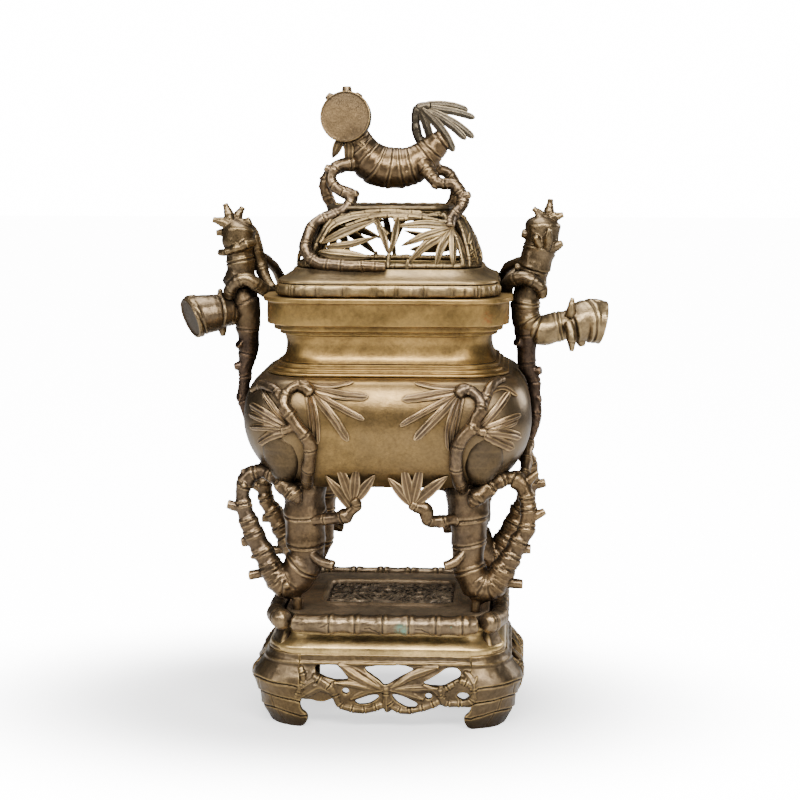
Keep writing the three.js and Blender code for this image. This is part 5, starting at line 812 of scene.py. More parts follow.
# ------------------------------------------------------------------ knotted bamboo castings
def cast(name, es, mat, body, spacing=14.0, voxel=0.6, on_belly=False, lip=1.0, swell=1.0, knots=0.5, smooth=3, rough=1.0, extra=None, discs=(), marks=None, nicks=False, wide=1.25, tip=1.1, blunt=0.0, broad=None):
    """canes fused into one rough cast skin, with rings at the joints; leaves laid on it"""
    rg = rng_for(name)
    parts, lines, lobes = [], [], []
    for e in es:
        if e["k"] != "t":
            continue
        C, R, s = line(e["p"], 0.7)
        stub = len(e["p"]) <= 3 and R.mean() < 4.5
        if stub:
            least = tip if e["p"][0][2] > 355 else 1.0
            R = R * 0.8 if on_belly else np.clip(R * 1.15, least, 3.7)      # small cut twigs: stout, flat ended
        big = max(R) > 9 and on_belly           # the bulge of the belly over a leg
        given = marks is not None and e is es[0]
        rings = []
        L = s[-1]
        sp = spacing * (1.25 if R.mean() < 4.5 else 1.0)
        elbow = e.get("elbow", False)          # the bend where a branch leaves the leg
        if given:
            rings = [(c, 0.0, 0.0) for c in marks]
        elif elbow:
            rings = [(c, 0.0, 0.0) for c in np.arange(9, L - 5, 5.2)]
        elif L > sp * 1.1 and not big:
            cnt = max(int(round(L / sp)), 1)
            for k in range(cnt):
                c = (k + 0.5 + rg.uniform(-0.16, 0.16)) * L / cnt
                rings.append((c, rg.uniform(-0.16, 0.16), rg.uniform(-0.16, 0.16)))
        # canes grow towards each joint
        if rings and not elbow:
            up = sum(np.exp(-((s - c) / (0.27 * sp)) ** 2) for c, _, _ in rings)
            Rk = R * (1 + swell * 0.055 * (up - 0.25))
        else:
            Rk = R.copy()
        ends = [0.0 if stub else 0.25, 0.0 if stub else 0.25]
        for q, nq, rq, dq in discs:
            for i in (0, 1):
                if np.linalg.norm(np.array(e["p"][-i][:3]) - q) < 0.6 * rq + 3:
                    ends[i] = 0.0
        if big:
            lobes.append((C, Rk))
            continue
        parts.append(pipe(C, Rk, 44 if R.mean() > 5 else 26, tuple(ends)))
        T, A, B = frames(C)
        lines.append((C, Rk, s, A, B, rings, 0.45 if elbow else 1.0))
        for c, _, _ in rings:
            if R.mean() > 2.6 and rg.rand() < knots:
                i = int(np.argmin(abs(s - c)))
                t = rg.uniform(0, 2 * math.pi)
                d = A[i] * math.cos(t) + B[i] * math.sin(t)
                rr = rg.uniform(0.22, 0.34) * Rk[i]
                parts.append(ball(C[i] + d * (Rk[i] - 0.15 * rr), rr))
    if extra:
        parts += extra
    V, F = merge(parts)
    V, Q = remesh(V, F, voxel)
    V = relax(V, Q, smooth)
    for e in es:
        if e.get("elbow"):
            c = np.array(e["p"][2][:3])
            V = relax(V, Q, 40, 0.5, np.exp(-(np.linalg.norm(V - c, axis=1) / 13) ** 2))
    # nearest cane of each vertex
    X = V.astype(np.float64)
    best = np.full(len(X), 1e9)
    push = np.zeros(len(X))
    gro = np.zeros(len(X))
    for C, R, s, A, B, rings, soft in lines:
        for j in range(0, len(X), 40000):
            x = X[j:j + 40000]
            D = np.sqrt(np.maximum((x * x).sum(1)[:, None] + (C * C).sum(1)[None] - 2 * x @ C.T, 0)) - R[None]
            k = D.argmin(1)
            d = D[np.arange(len(x)), k]
            b = best[j:j + 40000]
            w = d < b
            if not w.any():
                continue
            sv = s[k]
            if R.mean() > 7:
                # on a thick bent cane the distance along it is blended, so that the rings stay clean
                wt = np.exp(-(D - d[:, None]) / 0.7)
                sv = (wt @ s) / wt.sum(1)
            h = np.zeros(len(x))
            g = np.zeros(len(x))
            rel = x - C[k]
            u, v = (rel * A[k]).sum(1), (rel * B[k]).sum(1)
            for c, ta, tb in rings:
                y = sv - c + ta * u + tb * v
                m = min(max(R[k].mean() / 8, 0.45), 1.15)
                z_ = broad or (1.5 if R.mean() > 4.5 else 1.2)
                h += soft * lip * m * (0.36 * np.exp(-((y - 0.85 * z_) / (0.6 * z_)) ** 2) + 0.26 * np.exp(-((y + 0.9 * z_) / (0.75 * z_)) ** 2) - 0.50 * np.exp(-((y - 0.02) / 0.45) ** 2))
                g += 0.85 * np.exp(-((y - 0.02) / 0.45) ** 2) + 0.2 * np.exp(-((y + 2.0) / 0.5) ** 2)
            sl = slice(j, j + 40000)
            best[sl] = np.where(w, d, b)
            push[sl] = np.where(w, h, push[sl])
            gro[sl] = np.where(w, g, gro[sl])
    Nn = normals(V, Q)
    seed = zlib.crc32(name.encode()) & 0xFFFF
    push = push + rough * (0.15 * waves(V, 12, seed) + 0.06 * waves(V, 4.6, seed + 1) + 0.02 * waves(V, 2.2, seed + 2))
    if nicks:
        # a few chased strokes on the front of the rail
        for x0, z0, x1, z1 in ((-10.8, 78.6, -4, 75.1), (-14, 78.2, -10.8, 78.6), (26.9, 77.9, 33.6, 74.4), (22.5, 78.4, 26.9, 77.9), (-46, 79, -41, 81.5)):
            t = np.clip(((V[:, 0] - x0) * (x1 - x0) + (V[:, 2] - z0) * (z1 - z0)) / ((x1 - x0) ** 2 + (z1 - z0) ** 2), 0, 1)
            dd = np.hypot(V[:, 0] - x0 - t * (x1 - x0), V[:, 2] - z0 - t * (z1 - z0))
            push = push - 0.55 * np.exp(-(dd / 0.5) ** 2)
            gro = np.maximum(gro, 0.8 * np.exp(-(dd / 0.5) ** 2))
    for c, n, rad, depth in discs:
        # a cut end: flat face, sunk inside its rim
        rel = V - np.array(c)
        n = np.array(n, float) / np.linalg.norm(n)
        ax = rel @ n
        rd = np.linalg.norm(rel - ax[:, None] * n, axis=1)
        face = (ax > -1.6) & (rd < rad + 1.5)
        push = np.where(face, push * 0.2, push)
        lipw = 0.9 if rad > 17 else 1.7
        k = np.clip((rad - lipw - rd) / 0.7, 0, 1) * (ax > -2.5)
        V = V - n * (k * depth)[:, None]
        gro = np.maximum(gro, 0.8 * np.exp(-((rd - (rad - lipw - 0.2)) / 0.5) ** 2) * (ax > -3))
        if rad > 17:
            gro = np.maximum(gro, 0.30 * (rd < rad - lipw) * (ax > -3))
        if body == "burner":
            gro = np.maximum(gro, 0.62 * (rd < rad - lipw) * (ax > -3))
        if rad > 17:
            # the grain of the cut cane
            u = rel @ np.array([1.0, 0, 0])
            gr = np.abs(waves(np.stack([u, V[:, 2] * 0.04, V[:, 1] * 0], 1), 1.6, 5)) * (rd < rad - 1.6) * (ax > -3)
            gro = np.maximum(gro, 0.22 * np.clip(gr - 0.7, 0, 1))
    V = V + Nn * push[:, None]
    gro = np.clip(gro, 0, 1)
    if on_belly or name.startswith("leg"):
        V = clear_of_belly(V)
    lv, lf, lg = [], [], []
    for e in es:
        if e["k"] != "l":
            continue
        p = e["p"]
        if on_belly:
            p = [to_belly(q, 0.8) + [q[3]] for q in e["p"]]
            nr = [belly_normal(*q[:3]) for q in p]
            th = 3.3
        else:
            nr, th = e["n"], e["t"] * 0.85
        v, f, g = leaf(p, th, nr, fat=wide, blunt=blunt)
        o = len(lv)
        lv += v
        lf += [tuple(o + i for i in q) for q in f]
        lg += g
    if lv:
        lv = np.array(lv)
        lv = lv + (waves(lv, 9, seed + 5) * 0.10)[:, None] * np.array([0.3, 0.9, 0.3])
        if on_belly:
            lv = clear_of_belly(lv)
        allV = list(V) + list(lv)
        allF = [tuple(q) for q in Q] + [tuple(len(V) + i for i in q) for q in lf]
        G = list(gro) + list(lg)
        o = make(name + "_v", allV, allF, mat, body, [name], 60, groove=G)
    else:
        o = make(name + "_v", V, Q, mat, body, [name], 60, groove=gro, smooth_all=True)
    if lobes:
        # the smooth swelling of the bowl over the leg
        LV, LF = merge([pipe(C, R, 48) for C, R in lobes])
        LV, LQ = remesh(LV, LF, 0.9)
        LV = relax(LV, LQ, 30)
        LV, sd = press_to_belly(LV, 2.3)
        LV = clear_of_belly(LV)
        # its border is darkened where it meets and dips under the bowl: painted shade in the crease, with the patina of
        # that hollow
        make(name + "_swell_v", LV, LQ, M_LOBE, body, [], 60, smooth_all=True, groove=np.clip(0.75 * np.exp(-(np.maximum(sd, 0) / 0.8) ** 2) * (LV[:, 2] > 190), 0, 1))
    return o

LIMBS["leg_front_left"] = [e for e in LIMBS["leg_front_left"] if not (len(e["p"]) == 3 and e["p"][0][0] < -72)]
# the legs run smoothly into their branches, and the branches end over the legs' tops
P_ = LIMBS["leg_front_left"][0]["p"]
P_[-3:] = [[-65.1, -48, 110.7, 13.4], [-67.4, -48, 104.4, 12.0], [-68.8, -48, 98.2, 8.6], [-69.0, -48, 93.6, 5.2]]
LIMBS["leg_front_left"].append(dict(k="t", elbow=True, s=8, p=[[-63.6, -48, 118.0, 9.5], [-67.4, -48.7, 108.5, 12.2], [-73.0, -49.5, 103.2, 11.4], [-79.2, -50, 106.2, 10.0], [-83.6, -50, 112.2, 9.2]]))
P_ = LIMBS["leg_front_right"][0]["p"]
P_[-2:] = [[66.8, -48, 100.8, 10.6], [68.2, -48, 94.6, 7.0], [68.4, -48, 91.0, 4.6]]
LIMBS["leg_front_right"].append(dict(k="t", elbow=True, s=8, p=[[61.4, -48, 115.5, 9.0], [65.6, -48.7, 106.8, 11.2], [71.6, -49.5, 102.0, 10.6], [78.2, -50, 105.2, 9.5], [83.0, -50, 112.2, 9.2]]))
P_ = LIMBS["leg_branch_front_left"][0]["p"]
P_[-2:] = [[-81.2, -54.5, 184.2, 5.6], [-74.0, -61, 178.6, 6.3], [-66.8, -64.3, 173.0, 6.3], [-63.2, -64.6, 167.2, 3.4]]
P_ = LIMBS["leg_branch_front_right"][0]["p"]
P_[-3:] = [[80.7, -55, 182.3, 5.6], [72.1, -61.5, 177.0, 6.2], [65.0, -64.4, 171.5, 6.0], [62.2, -64.6, 165.8, 3.4]]
ALL = dict(LIMBS)
for a, b in (("front_left", "back_right"), ("front_right", "back_left")):
    for k in ("leg_", "leg_branch_", "leg_twig_", "corner_spray_"):
        ALL[k + b] = turned(LIMBS[k + a])
for c in ("front_left", "front_right", "back_left", "back_right"):
    cast("leg_" + c, ALL["leg_" + c], M_AGED, "burner", 17, 0.62, lip=1.1, swell=1.1, knots=0.15, rough=0.7)
    cast("leg_branch_" + c, ALL["leg_branch_" + c], M_AGED, "burner", 12.5, 0.58, lip=1.3, swell=2.3, knots=0.3, rough=0.7)
    cast("leg_twig_" + c, ALL["leg_twig_" + c], M_AGED, "burner", 10, 0.52, lip=1.0, swell=1.5, knots=0.3, wide=1.2, rough=0.7)
    cast("corner_spray_" + c, ALL["corner_spray_" + c], M_AGED, "burner", 12.5, 0.58, on_belly=True, lip=1.0, swell=1.6, knots=0.15, wide=1.05, rough=0.7, blunt=0.75)

def end_disc(e, first, inset=0.0):
    P = e["p"]
    a, b = (P[0], P[1]) if first else (P[-1], P[-2])
    n = np.array(a[:3]) - np.array(b[:3])
    n /= np.linalg.norm(n)
    return (np.array(a[:3]) + n * inset, n, a[3], 0.9)

# the right handle's cane bends smoothly into its branch; the sheath hugs the left one
pr = dict(ALL["handle_right_post"][0])
pr["p"] = [[107.0, 0.3, 288.3, 9.6], [102.4, 0.1, 291.6, 10.2], [100.0, 0, 297.5, 10.5], [99.6, 0, 304.5, 10.5], [100.4, 0, 311.5, 10.3]] + [list(q) for q in pr["p"][1:]]
ALL["handle_right_post"] = [pr] + ALL["handle_right_post"][1:]
# a twig lies across the left post
pl = ALL["handle_left_post"]
ALL["handle_left_post"] = pl[:6] + [dict(k="t", s=8, p=[[-127.4, -4.5, 343.6, 2.6], [-122.5, -8.5, 343.9, 2.7], [-118.0, -10.5, 345.4, 2.4], [-114.2, -11.3, 347.0, 3.6], [-110.6, -11.2, 347.6, 2.9], [-107.4, -10.6, 349.6, 3.7], [-104.0, -8.8, 350.4, 2.9], [-100.8, -5.0, 351.0, 2.5]])]
arm = [dict(e) for e in ALL["handle_left_arm"]]
arm[1]["p"] = [[-107.6, 5, 361.6, 4.2], [-105.0, 7, 357.6, 5.0], [-103.0, 7.5, 350.5, 5.4], [-101.0, 8, 342.0, 5.4], [-98.8, 8, 333.6, 5.2], [-95.6, 6, 325.6, 4.8], [-92.4, 2, 320.0, 4.3], [-88.6, -1.5, 316.2, 4.0]]
ALL["handle_left_arm"] = arm
for s in ("left", "right"):
    ALL["handle_%s_arm" % s] = [dict(e, p=[[*q[:3], q[3] * (1.0 if i == 1 and s == "left" else 1.14)] for q in e["p"]]) for i, e in enumerate(ALL["handle_%s_arm" % s])]
for s in ("left", "right"):
    cast("handle_%s_post" % s, ALL["handle_%s_post" % s], M_CANE, "burner", 13.5, 0.55, lip=1.1, swell=1.2, knots=0.0, rough=0.6, tip=2.3)
    br = ALL["handle_%s_branch" % s]
    cast("handle_%s_branch" % s, br, M_BRANCH if s == "right" else M_CANE, "burner", 13, 0.55, lip=1.1, swell=1.0, knots=0.0, rough=0.6, discs=[end_disc(br[0], False)])
    cast("handle_%s_stem" % s, ALL["handle_%s_stem" % s], M_STEM, "burner", 18, 0.58, lip=0.9, swell=1.4, knots=0.3)
    cast("handle_%s_arm" % s, ALL["handle_%s_arm" % s], M_CANE, "burner", 12, 0.55, lip=0.6, swell=1.0, knots=0.0, rough=0.6)
for n in ("finial_foreleg_near", "finial_hindleg_near", "finial_foreleg_far", "finial_hindleg_far"):
    cast(n, ALL[n], M_AGED, "lid", 10, 0.5, lip=0.9, swell=1.5, knots=0.3, rough=0.7)
cast("finial_body", ALL["finial_body"], M_AGED, "lid", 8.4, 0.5, lip=0.85, swell=0.45, knots=0.0, smooth=3, rough=0.4)
hd_ = ALL["finial_head"]
cast("finial_head", hd_, M_HEAD, "lid", 60, 0.5, lip=0.8, knots=0.0, smooth=2, rough=0.4, wide=1.5, discs=[end_disc(hd_[0], True)[:3] + (0.35,)])
cast("finial_tail_spray", ALL["finial_tail_spray"], M_TAIL, "lid", 11, 0.5, lip=0.8, swell=1.3, knots=0.2, wide=1.0, blunt=0.8)

# ------------------------------------------------------------------ burner body
def smooth_prof(prof, sub=4):
    return [tuple(q) for q in catmull(prof, sub)]

NECK_IN = (70, 51, 27)
outer = smooth_prof([(b[1], b[2], b[3], b[0]) for b in BELLY], 5)
inner = [(b[1] - 4.5, b[2] - 4.5, b[3] - 4.5, max(b[0], 182.5)) for b in BELLY[1:]][::-1]
under = [(0.5, 0.5, 0.2, 177.9), (40, 30, 15, 177.9), (66, 48, 25, 178.0)]
V, F = loft(under + outer + inner + [(40, 30, 15, 182.4), (0.5, 0.5, 0.2, 182.4)])
make("bowl_v", V, F, M_BELLY, "burner", ["bowl"], 40, 0.35)

def ring_obj(name, out, inn, mat, body, bevel=0.5, smooth=0, n=NR, push=None):
    o = smooth_prof(out, smooth) if smooth else list(out)
    V, F = loft(o + [(*inn, o[-1][3]), (*inn, o[0][3])], n, True, push)
    return make(name + "_v", V, F, mat, body, [name], 34, bevel)

ring_obj("shoulder", [(88, 68, 34, 258.9), (88, 68, 34, 261.0), (84.3, 64.8, 32, 261.5), (84.0, 64.5, 32, 263.9), (81.2, 62.2, 31, 264.3), (81, 62, 31, 267.2)], NECK_IN, M_POL, "burner", 0.6)
ring_obj("neck", [(78.5, 59.5, 30, 267.5), (76, 57, 30, 272), (75, 56, 30, 280.5), (76.5, 57.5, 30, 287.1)], NECK_IN, M_POL, "burner", 0.3, 5)
ring_obj("collar", [(79.5, 60.5, 31, 287.4), (79.5, 60.5, 31, 290.4), (83.5, 64.5, 32, 290.9), (83.5, 64.5, 32, 294.6), (88, 69, 34, 295.3), (88.2, 69.2, 34, 303), (88, 69, 34, 311.2), (90.5, 71.5, 35, 311.8), (90.5, 71.5, 35, 315)], NECK_IN, M_POL, "burner", 0.6)

# ------------------------------------------------------------------ lid
NB = 420
bp = []
for k in range(13):
    t = math.pi * k / 12
    g = 1.5 * math.sin(t) ** 0.25 if 0 < k < 12 else 0.0
    bp.append((78.9 + g, 64.9 + g, 27.3 + g * 0.5, 315.4 + 9.2 * k / 12))
per = 2 * (2 * 53 + 2 * 39) + 2 * math.pi * 27.5
pos = [i / NB * per for i in range(NB)]
rb = rng_for("band")
marks = [per * (k + 0.5 + rb.uniform(-0.1, 0.1)) / 28 for k in range(28)]
def band_push(j, i):
    if j >= 13:
        return 0.0
    t = min(1, 2.2 * math.sin(math.pi * j / 12)) * (0.55 + 0.45 * (1 - math.cos(2 * math.pi * j / 12)) / 2)
    half = per / 56
    h = 0.0
    for m in marks:
        d = (pos[i] - m + per / 2) % per - per / 2
        if abs(d) <= half:
            # each length of cane is a low cushion between two ridges
            h += 0.8 * (1 - (1 - abs(d) / half) ** 2) - 0.75 * math.exp(-((abs(d) - 2.3) / 0.7) ** 2) + 0.35 * math.exp(-((abs(d) - 1.1) / 0.6) ** 2) - 0.8 * math.exp(-(d / 0.5) ** 2)
    return h * t
ring_obj("lid_band", bp, (63, 47, 24), M_RIMS, "lid", 0.0, 0, NB, band_push)
ring_obj("lid_slope", [(79.2, 65.2, 27.4, 324.9), (79.6, 65.6, 27.6, 325.4), (79.5, 65.4, 27.6, 326.8), (78.4, 64.2, 27.4, 327.5), (75.8, 61.2, 27, 328.5), (72.9, 57.6, 26.6, 330.0), (70.5, 54.6, 26.2, 332.0), (68.9, 52.2, 26, 334.9)], (58, 42, 22), M_RIMS, "lid", 0.3)

def strip(side, pts, r, mat_parts, flat=1.0):
    C = np.array([dome_point(side, a, z, off)[0] for a, z, off in pts])
    mat_parts.append([list(map(float, c)) + [r] for c in C])

HALF = {"front": (59.0, 41.5), "back": (59.0, 41.5), "left": (42.5, 27.5), "right": (42.5, 27.5)}
STRANDS = [([[-48.5, 353], [-43.0, 364], [-34.0, 371.6], [-18, 375.4], [2, 375.8], [24, 374.6]], 1.9), ([[-30, 365], [-12, 371.0], [8, 372.2], [28, 370.6], [44, 367.4]], 1.9), ([[4, 370.2], [20, 371.4], [38, 374.6]], 1.9), ([[46.3, 364], [50, 356], [53, 347], [55, 337]], 1.9)]
for side, table in (("front", DOME_FRONT + STRANDS), ("back", DOME_FRONT), ("left", DOME_SIDE), ("right", DOME_SIDE)):
    nm = "dome_grille_" + side
    rg = rng_for(nm)
    b, t = HALF[side]
    tubes = []
    for z, w, r in ((337.2, b, 2.1), (373.6, t, 1.9)):
        n = 17
        P = []
        for i in range(n):
            a = -w + 2 * w * i / (n - 1)
            p, nn = dome_point(side, a, z, -1.7)
            P.append([*map(float, p), r])
        tubes.append(dict(k="t", p=P, s=8))
    for e in (1, -1):
        P = []
        for f in (0, 0.2, 0.45, 0.7, 0.88, 1):
            z = 336.6 + (374.2 - 336.6) * f
            hwz = float(dome_dims(z)[0 if side in ("front", "back") else 1])
            w = b + (t - b) * f - 1.2 + 1.8 * math.sin(math.pi * f)
            p, nn = dome_point(side, e * w, z, -1.5)
            P.append([*map(float, p), 2.1])
        tubes.append(dict(k="t", p=P, s=8))
    leaves = []
    for k, (path, w) in enumerate(table):
        pts, nr = [], []
        n = 5
        for i in range(n):
            f = i / (n - 1) * (len(path) - 1)
            j = min(int(f), len(path) - 2)
            g = f - j
            a, z = (path[j][m] + (path[j + 1][m] - path[j][m]) * g for m in (0, 1))
            p, nn = dome_point(side, a, z, -1.0 + 0.5 * (k % 3))
            pts.append([*map(float, p), w])
            nr.append(nn)
        if w < 1.95:
            tubes.append(dict(k="t", p=[q[:3] + [1.7] for q in pts], s=6))
        else:
            leaves.append((pts, nr))
    # the rings on the canes, then the leaves between them
    o = cast(nm, tubes, M_LID, "lid", 10, 0.5, lip=0.7, swell=1.4, knots=0.15)
    lv, lf, lg = [], [], []
    for pts, nr in leaves:
        v, f, g = leaf(pts, 2.7, nr, root=0.35, fat=1.3)
        k0 = len(lv)
        lv += v
        lf += [tuple(k0 + i for i in q) for q in f]
        lg += g
    lo_ = make(nm + "_leaves_v", lv, lf, M_LID, "lid", [], 60, groove=lg)

# openwork top: a cane frame with crossing leaves
def closed_pipe(C, r, sides=16, rings=0, amp=0.0):
    n = len(C)
    T = np.roll(C, -1, 0) - np.roll(C, 1, 0)
    T /= np.linalg.norm(T, axis=1)[:, None]
    up = np.array([0, 0, 1.0])
    V, F = [], []
    for i in range(n):
        b = np.cross(T[i], up)
        rr = r * (1 + amp * math.cos(2 * math.pi * rings * i / n) ** 8) if rings else r
        for k in range(sides):
            t = 2 * math.pi * k / sides
            V.append(tuple(C[i] + b * math.cos(t) * rr + up * math.sin(t) * rr * 0.85))
    for i in range(n):
        j = (i + 1) % n
        for k in range(sides):
            l = (k + 1) % sides
            F.append((i * sides + k, i * sides + l, j * sides + l, j * sides + k))
    return V, F
C = np.array([(x, y, 377.5) for x, y in rr_even(240, 44.0, 29.0, 15.5)])
parts = [closed_pipe(C, 2.2, 16, 12, 0.22)]
G = [0.0] * len(parts[0][0])
lg = []
for x0, y0, x1, y1, w in TOPBARS:
    pts = [[x0 + (x1 - x0) * f, y0 + (y1 - y0) * f, 377.6 + 0.5 * math.sin(math.pi * f), w * 1.3] for f in (0, 0.33, 0.66, 1)]
    v, f, g = leaf(pts, 2.6, (0, 0, 1), root=0.4)
    parts.append((v, f))
    G += g
V, F = merge(parts)
make("dome_cap_v", V, F, M_LID, "lid", ["dome_cap"], 60, groove=G)

# ------------------------------------------------------------------ stand
def slab(outline, holes, d0, d1):
    """flat plate in (a, z) with holes, from depth d0 to d1; returned as (a, depth, z)"""
    cu = bpy.data.curves.new("tmp", "CURVE")
    cu.dimensions = "2D"
    cu.fill_mode = "BOTH"
    cu.extrude = (d1 - d0) / 2 * MM
    for ring in [outline] + holes:
        sp = cu.splines.new("POLY")
        sp.points.add(len(ring) - 1)
        for p, (a, z) in zip(sp.points, ring):
            p.co = (a * MM, z * MM, 0, 1)
        sp.use_cyclic_u = True
    o = bpy.data.objects.new("tmp", cu)
    bpy.context.scene.collection.objects.link(o)
    ev = o.evaluated_get(bpy.context.evaluated_depsgraph_get())
    m = ev.to_mesh()
    V = [(v.co.x / MM, (d0 + d1) / 2 + v.co.z / MM, v.co.y / MM) for v in m.vertices]
    F = [tuple(p.vertices) for p in m.polygons]
    ev.to_mesh_clear()
    bpy.data.objects.remove(o)
    bpy.data.curves.remove(cu)
    return V, F

def soften(ring, step=1.6):
    """rounded closed outline through the given points"""
    P = np.array(ring + [ring[0]], float)
    n = len(P) - 1
    out = []
    for i in range(n):
        p0, p1, p2, p3 = P[(i - 1) % n], P[i], P[(i + 1) % n], P[(i + 2) % n]
        k = max(int(np.linalg.norm(p2 - p1) / step), 1)
        for j in range(k):
            t = j / k
            out.append(tuple(0.5 * ((2 * p1) + (-p0 + p2) * t + (2 * p0 - 5 * p1 + 4 * p2 - p3) * t * t + (-p0 + 3 * p1 - 3 * p2 + p3) * t ** 3)))
    return out

SKIRT = [(0, 88, 67, 28), (5, 90.5, 69.5, 30), (10, 93, 71.5, 31), (16, 94.3, 73, 31), (22, 95.3, 73.8, 31), (28, 97.5, 75.5, 32), (34, 99.5, 77.2, 33), (39, 98.7, 76.6, 32), (43.5, 95.5, 75, 31), (48, 92, 73.6, 31), (52, 90, 73, 31), (56.2, 88.5, 72.5, 31)]
SK = catmull([(b, c, d, a) for a, b, c, d in SKIRT], 6)
def skirt(z):
    return [np.interp(z, SK[:, 3], SK[:, k]) for k in range(3)]

JX, JY = 62.5, 41.0
def wrap_flat(V, side):
    """(a, depth, z) onto one face of the skirt"""
    a, d, z = V[:, 0], V[:, 1], V[:, 2]
    hw, hd, r = skirt(z)
    if side in ("front", "back"):
        W = np.stack([a, -hd + d, z], 1)
        if side == "back":
            W[:, :2] *= -1
    else:
        k = JY / JX
        W = np.stack([hw - d, a * k, z], 1)
        if side == "left":
            W[:, :2] *= -1
    return W

def apron(side):
    nm = "stand_apron_" + side
    e = JX
    low = [(a, z) for a, z in EDGE_LOW if abs(a) < e - 1]
    outline = [(-e, 56.3), (-e, low[0][1])] + low + [(e, low[-1][1]), (e, 56.3)]
    parts = [slab(outline, [soften([list(p) for p in h]) for h in OPENINGS], 0.3, 5.0)]
    rg = rng_for(nm)
    rings = []
    G = []
    for path, w in RELIEF["canes"]:
        r = w * 0.375
        C, R, s = line([[a, 0.35 * r, z, r] for a, z in path], 0.7)
        parts.append(pipe(C, R * (1 + 0.05 * np.sin(s / 2.9)), 16))
        rings.append((C, R, s))
    for path, w in RELIEF["leaves"]:
        r = w * 0.36
        v, f, g = leaf([[a, -0.1, z, r] for a, z in path], 2.9, (0, -1, 0), root=0.5)
        parts.append((v, f))
    # the roll under the waist
    C, R, s = line([[a, 0.55, 50.2 + 0.4 * math.sin(a / 20), 1.35] for a in np.linspace(-e, e, 30)], 0.8)
    parts.append(pipe(C, R, 12, 0))
    V, F = merge(parts)
    V, Q = remesh(V, F, 0.55)
    V = relax(V, Q, 2)
    N = normals(V, Q)
    # incised joints on the canes, and a painted shadow: a dark line on the face just under the roll
    gro = np.zeros(len(V))
    push = np.zeros(len(V))
    best = np.full(len(V), 1e9)
    for C, R, s in rings:
        D = np.sqrt(np.maximum((V * V).sum(1)[:, None] + (C * C).sum(1)[None] - 2 * V @ C.T, 0)) - R[None]
        k = D.argmin(1)
        d = D[np.arange(len(V)), k]
        w = (d < 0.9) & (d < best)
        y = s[k]
        h = np.zeros(len(V))
        g = np.zeros(len(V))
        L = s[-1]
        cnt = max(int(round(L / 8.5)), 1)
        for q in range(cnt):
            c = (q + 0.5) * L / cnt
            h += 0.42 * np.exp(-((y - c - 0.9) / 0.6) ** 2) + 0.3 * np.exp(-((y - c + 1) / 0.7) ** 2) - 0.6 * np.exp(-((y - c) / 0.45) ** 2)
            g += np.exp(-((y - c) / 0.5) ** 2)
        push = np.where(w, h, push)
        gro = np.where(w, g, gro)
        best = np.where(w, d, best)
    face = V[:, 1] < 1.0
    # painted shadow under the roll
    gro = np.maximum(gro, 0.75 * np.exp(-((V[:, 2] - 47.9) / 0.5) ** 2) * face)
    gro = np.clip(gro, 0, 1)
    seed = zlib.crc32(nm.encode()) & 0xFFFF
    V = V + N * (push + 0.12 * waves(V, 11, seed) + 0.04 * waves(V, 4.5, seed + 1))[:, None]
    V[:, 2] = np.minimum(V[:, 2], 56.3)
    W = wrap_flat(V, side)
    make(nm + "_v", W, Q, M_STAND, "stand", [nm], 60, groove=gro, smooth_all=True)
for side in ("front", "back", "left", "right"):
    apron(side)

# corner feet: a slab bent round the corner, cut by curved folds
NZ, NS = 70, 90
def corner_table(rows, jx, jy, z0, z1):
    """positions of the corner's skin: rows(z) -> hw, hd, r; from x = jx on the front to y = -jy on the side"""
    zs = np.linspace(z0, z1, NZ)
    T = np.zeros((NZ, NS, 4))
    Ls = np.zeros(NZ)
    for i, z in enumerate(zs):
        hw, hd, r = [float(v) for v in rows(z)]
        pts = [(x, -hd, 0, -1) for x in np.linspace(0, hw - r, 30)]
        for t in np.linspace(0, math.pi / 2, 60)[1:]:
            pts.append((hw - r + r * math.sin(t), -(hd - r) - r * math.cos(t), math.sin(t), -math.cos(t)))
        pts += [(hw, y, 1, 0) for y in np.linspace(-(hd - r), 0, 30)[1:]]
        P = np.array(pts)
        d = np.r_[0, np.cumsum(np.hypot(np.diff(P[:, 0]), np.diff(P[:, 1])))]
        i0 = int(np.argmax(P[:, 0] > jx))
        s0 = np.interp(jx, P[i0 - 1:i0 + 1, 0], d[i0 - 1:i0 + 1])
        i1 = int(np.argmax(P[:, 1] > -jy))
        s1 = np.interp(-jy, P[i1 - 1:i1 + 1, 1], d[i1 - 1:i1 + 1])
        Ls[i] = s1 - s0
        for c in range(4):
            T[i, :, c] = np.interp(np.linspace(s0, s1, NS), d, P[:, c])
    return zs, T, Ls

def corner_wrap(V, tab, L0, sx, sy):
    """(s, depth, z) bent round the corner whose signs are sx, sy"""
    zs, T, Ls = tab
    s, d, z = V[:, 0], V[:, 1], V[:, 2]
    fz = np.clip((z - zs[0]) / (zs[-1] - zs[0]), 0, 1) * (NZ - 1)
    i = np.minimum(fz.astype(int), NZ - 2)
    tz = fz - i
    f = np.clip(s / L0, 0, 1) * (NS - 1)
    j = np.minimum(f.astype(int), NS - 2)
    tf = f - j
    q = sum(wz[:, None] * wf[:, None] * T[a, b] for a, wz in ((i, 1 - tz), (i + 1, tz)) for b, wf in ((j, 1 - tf), (j + 1, tf)))
    x, y = q[:, 0] - q[:, 2] * d, q[:, 1] - q[:, 3] * d
    x = x + np.minimum(s, 0)
    y = y + np.maximum(s - L0, 0)
    return np.stack([x * sx, y * sy, z], 1)

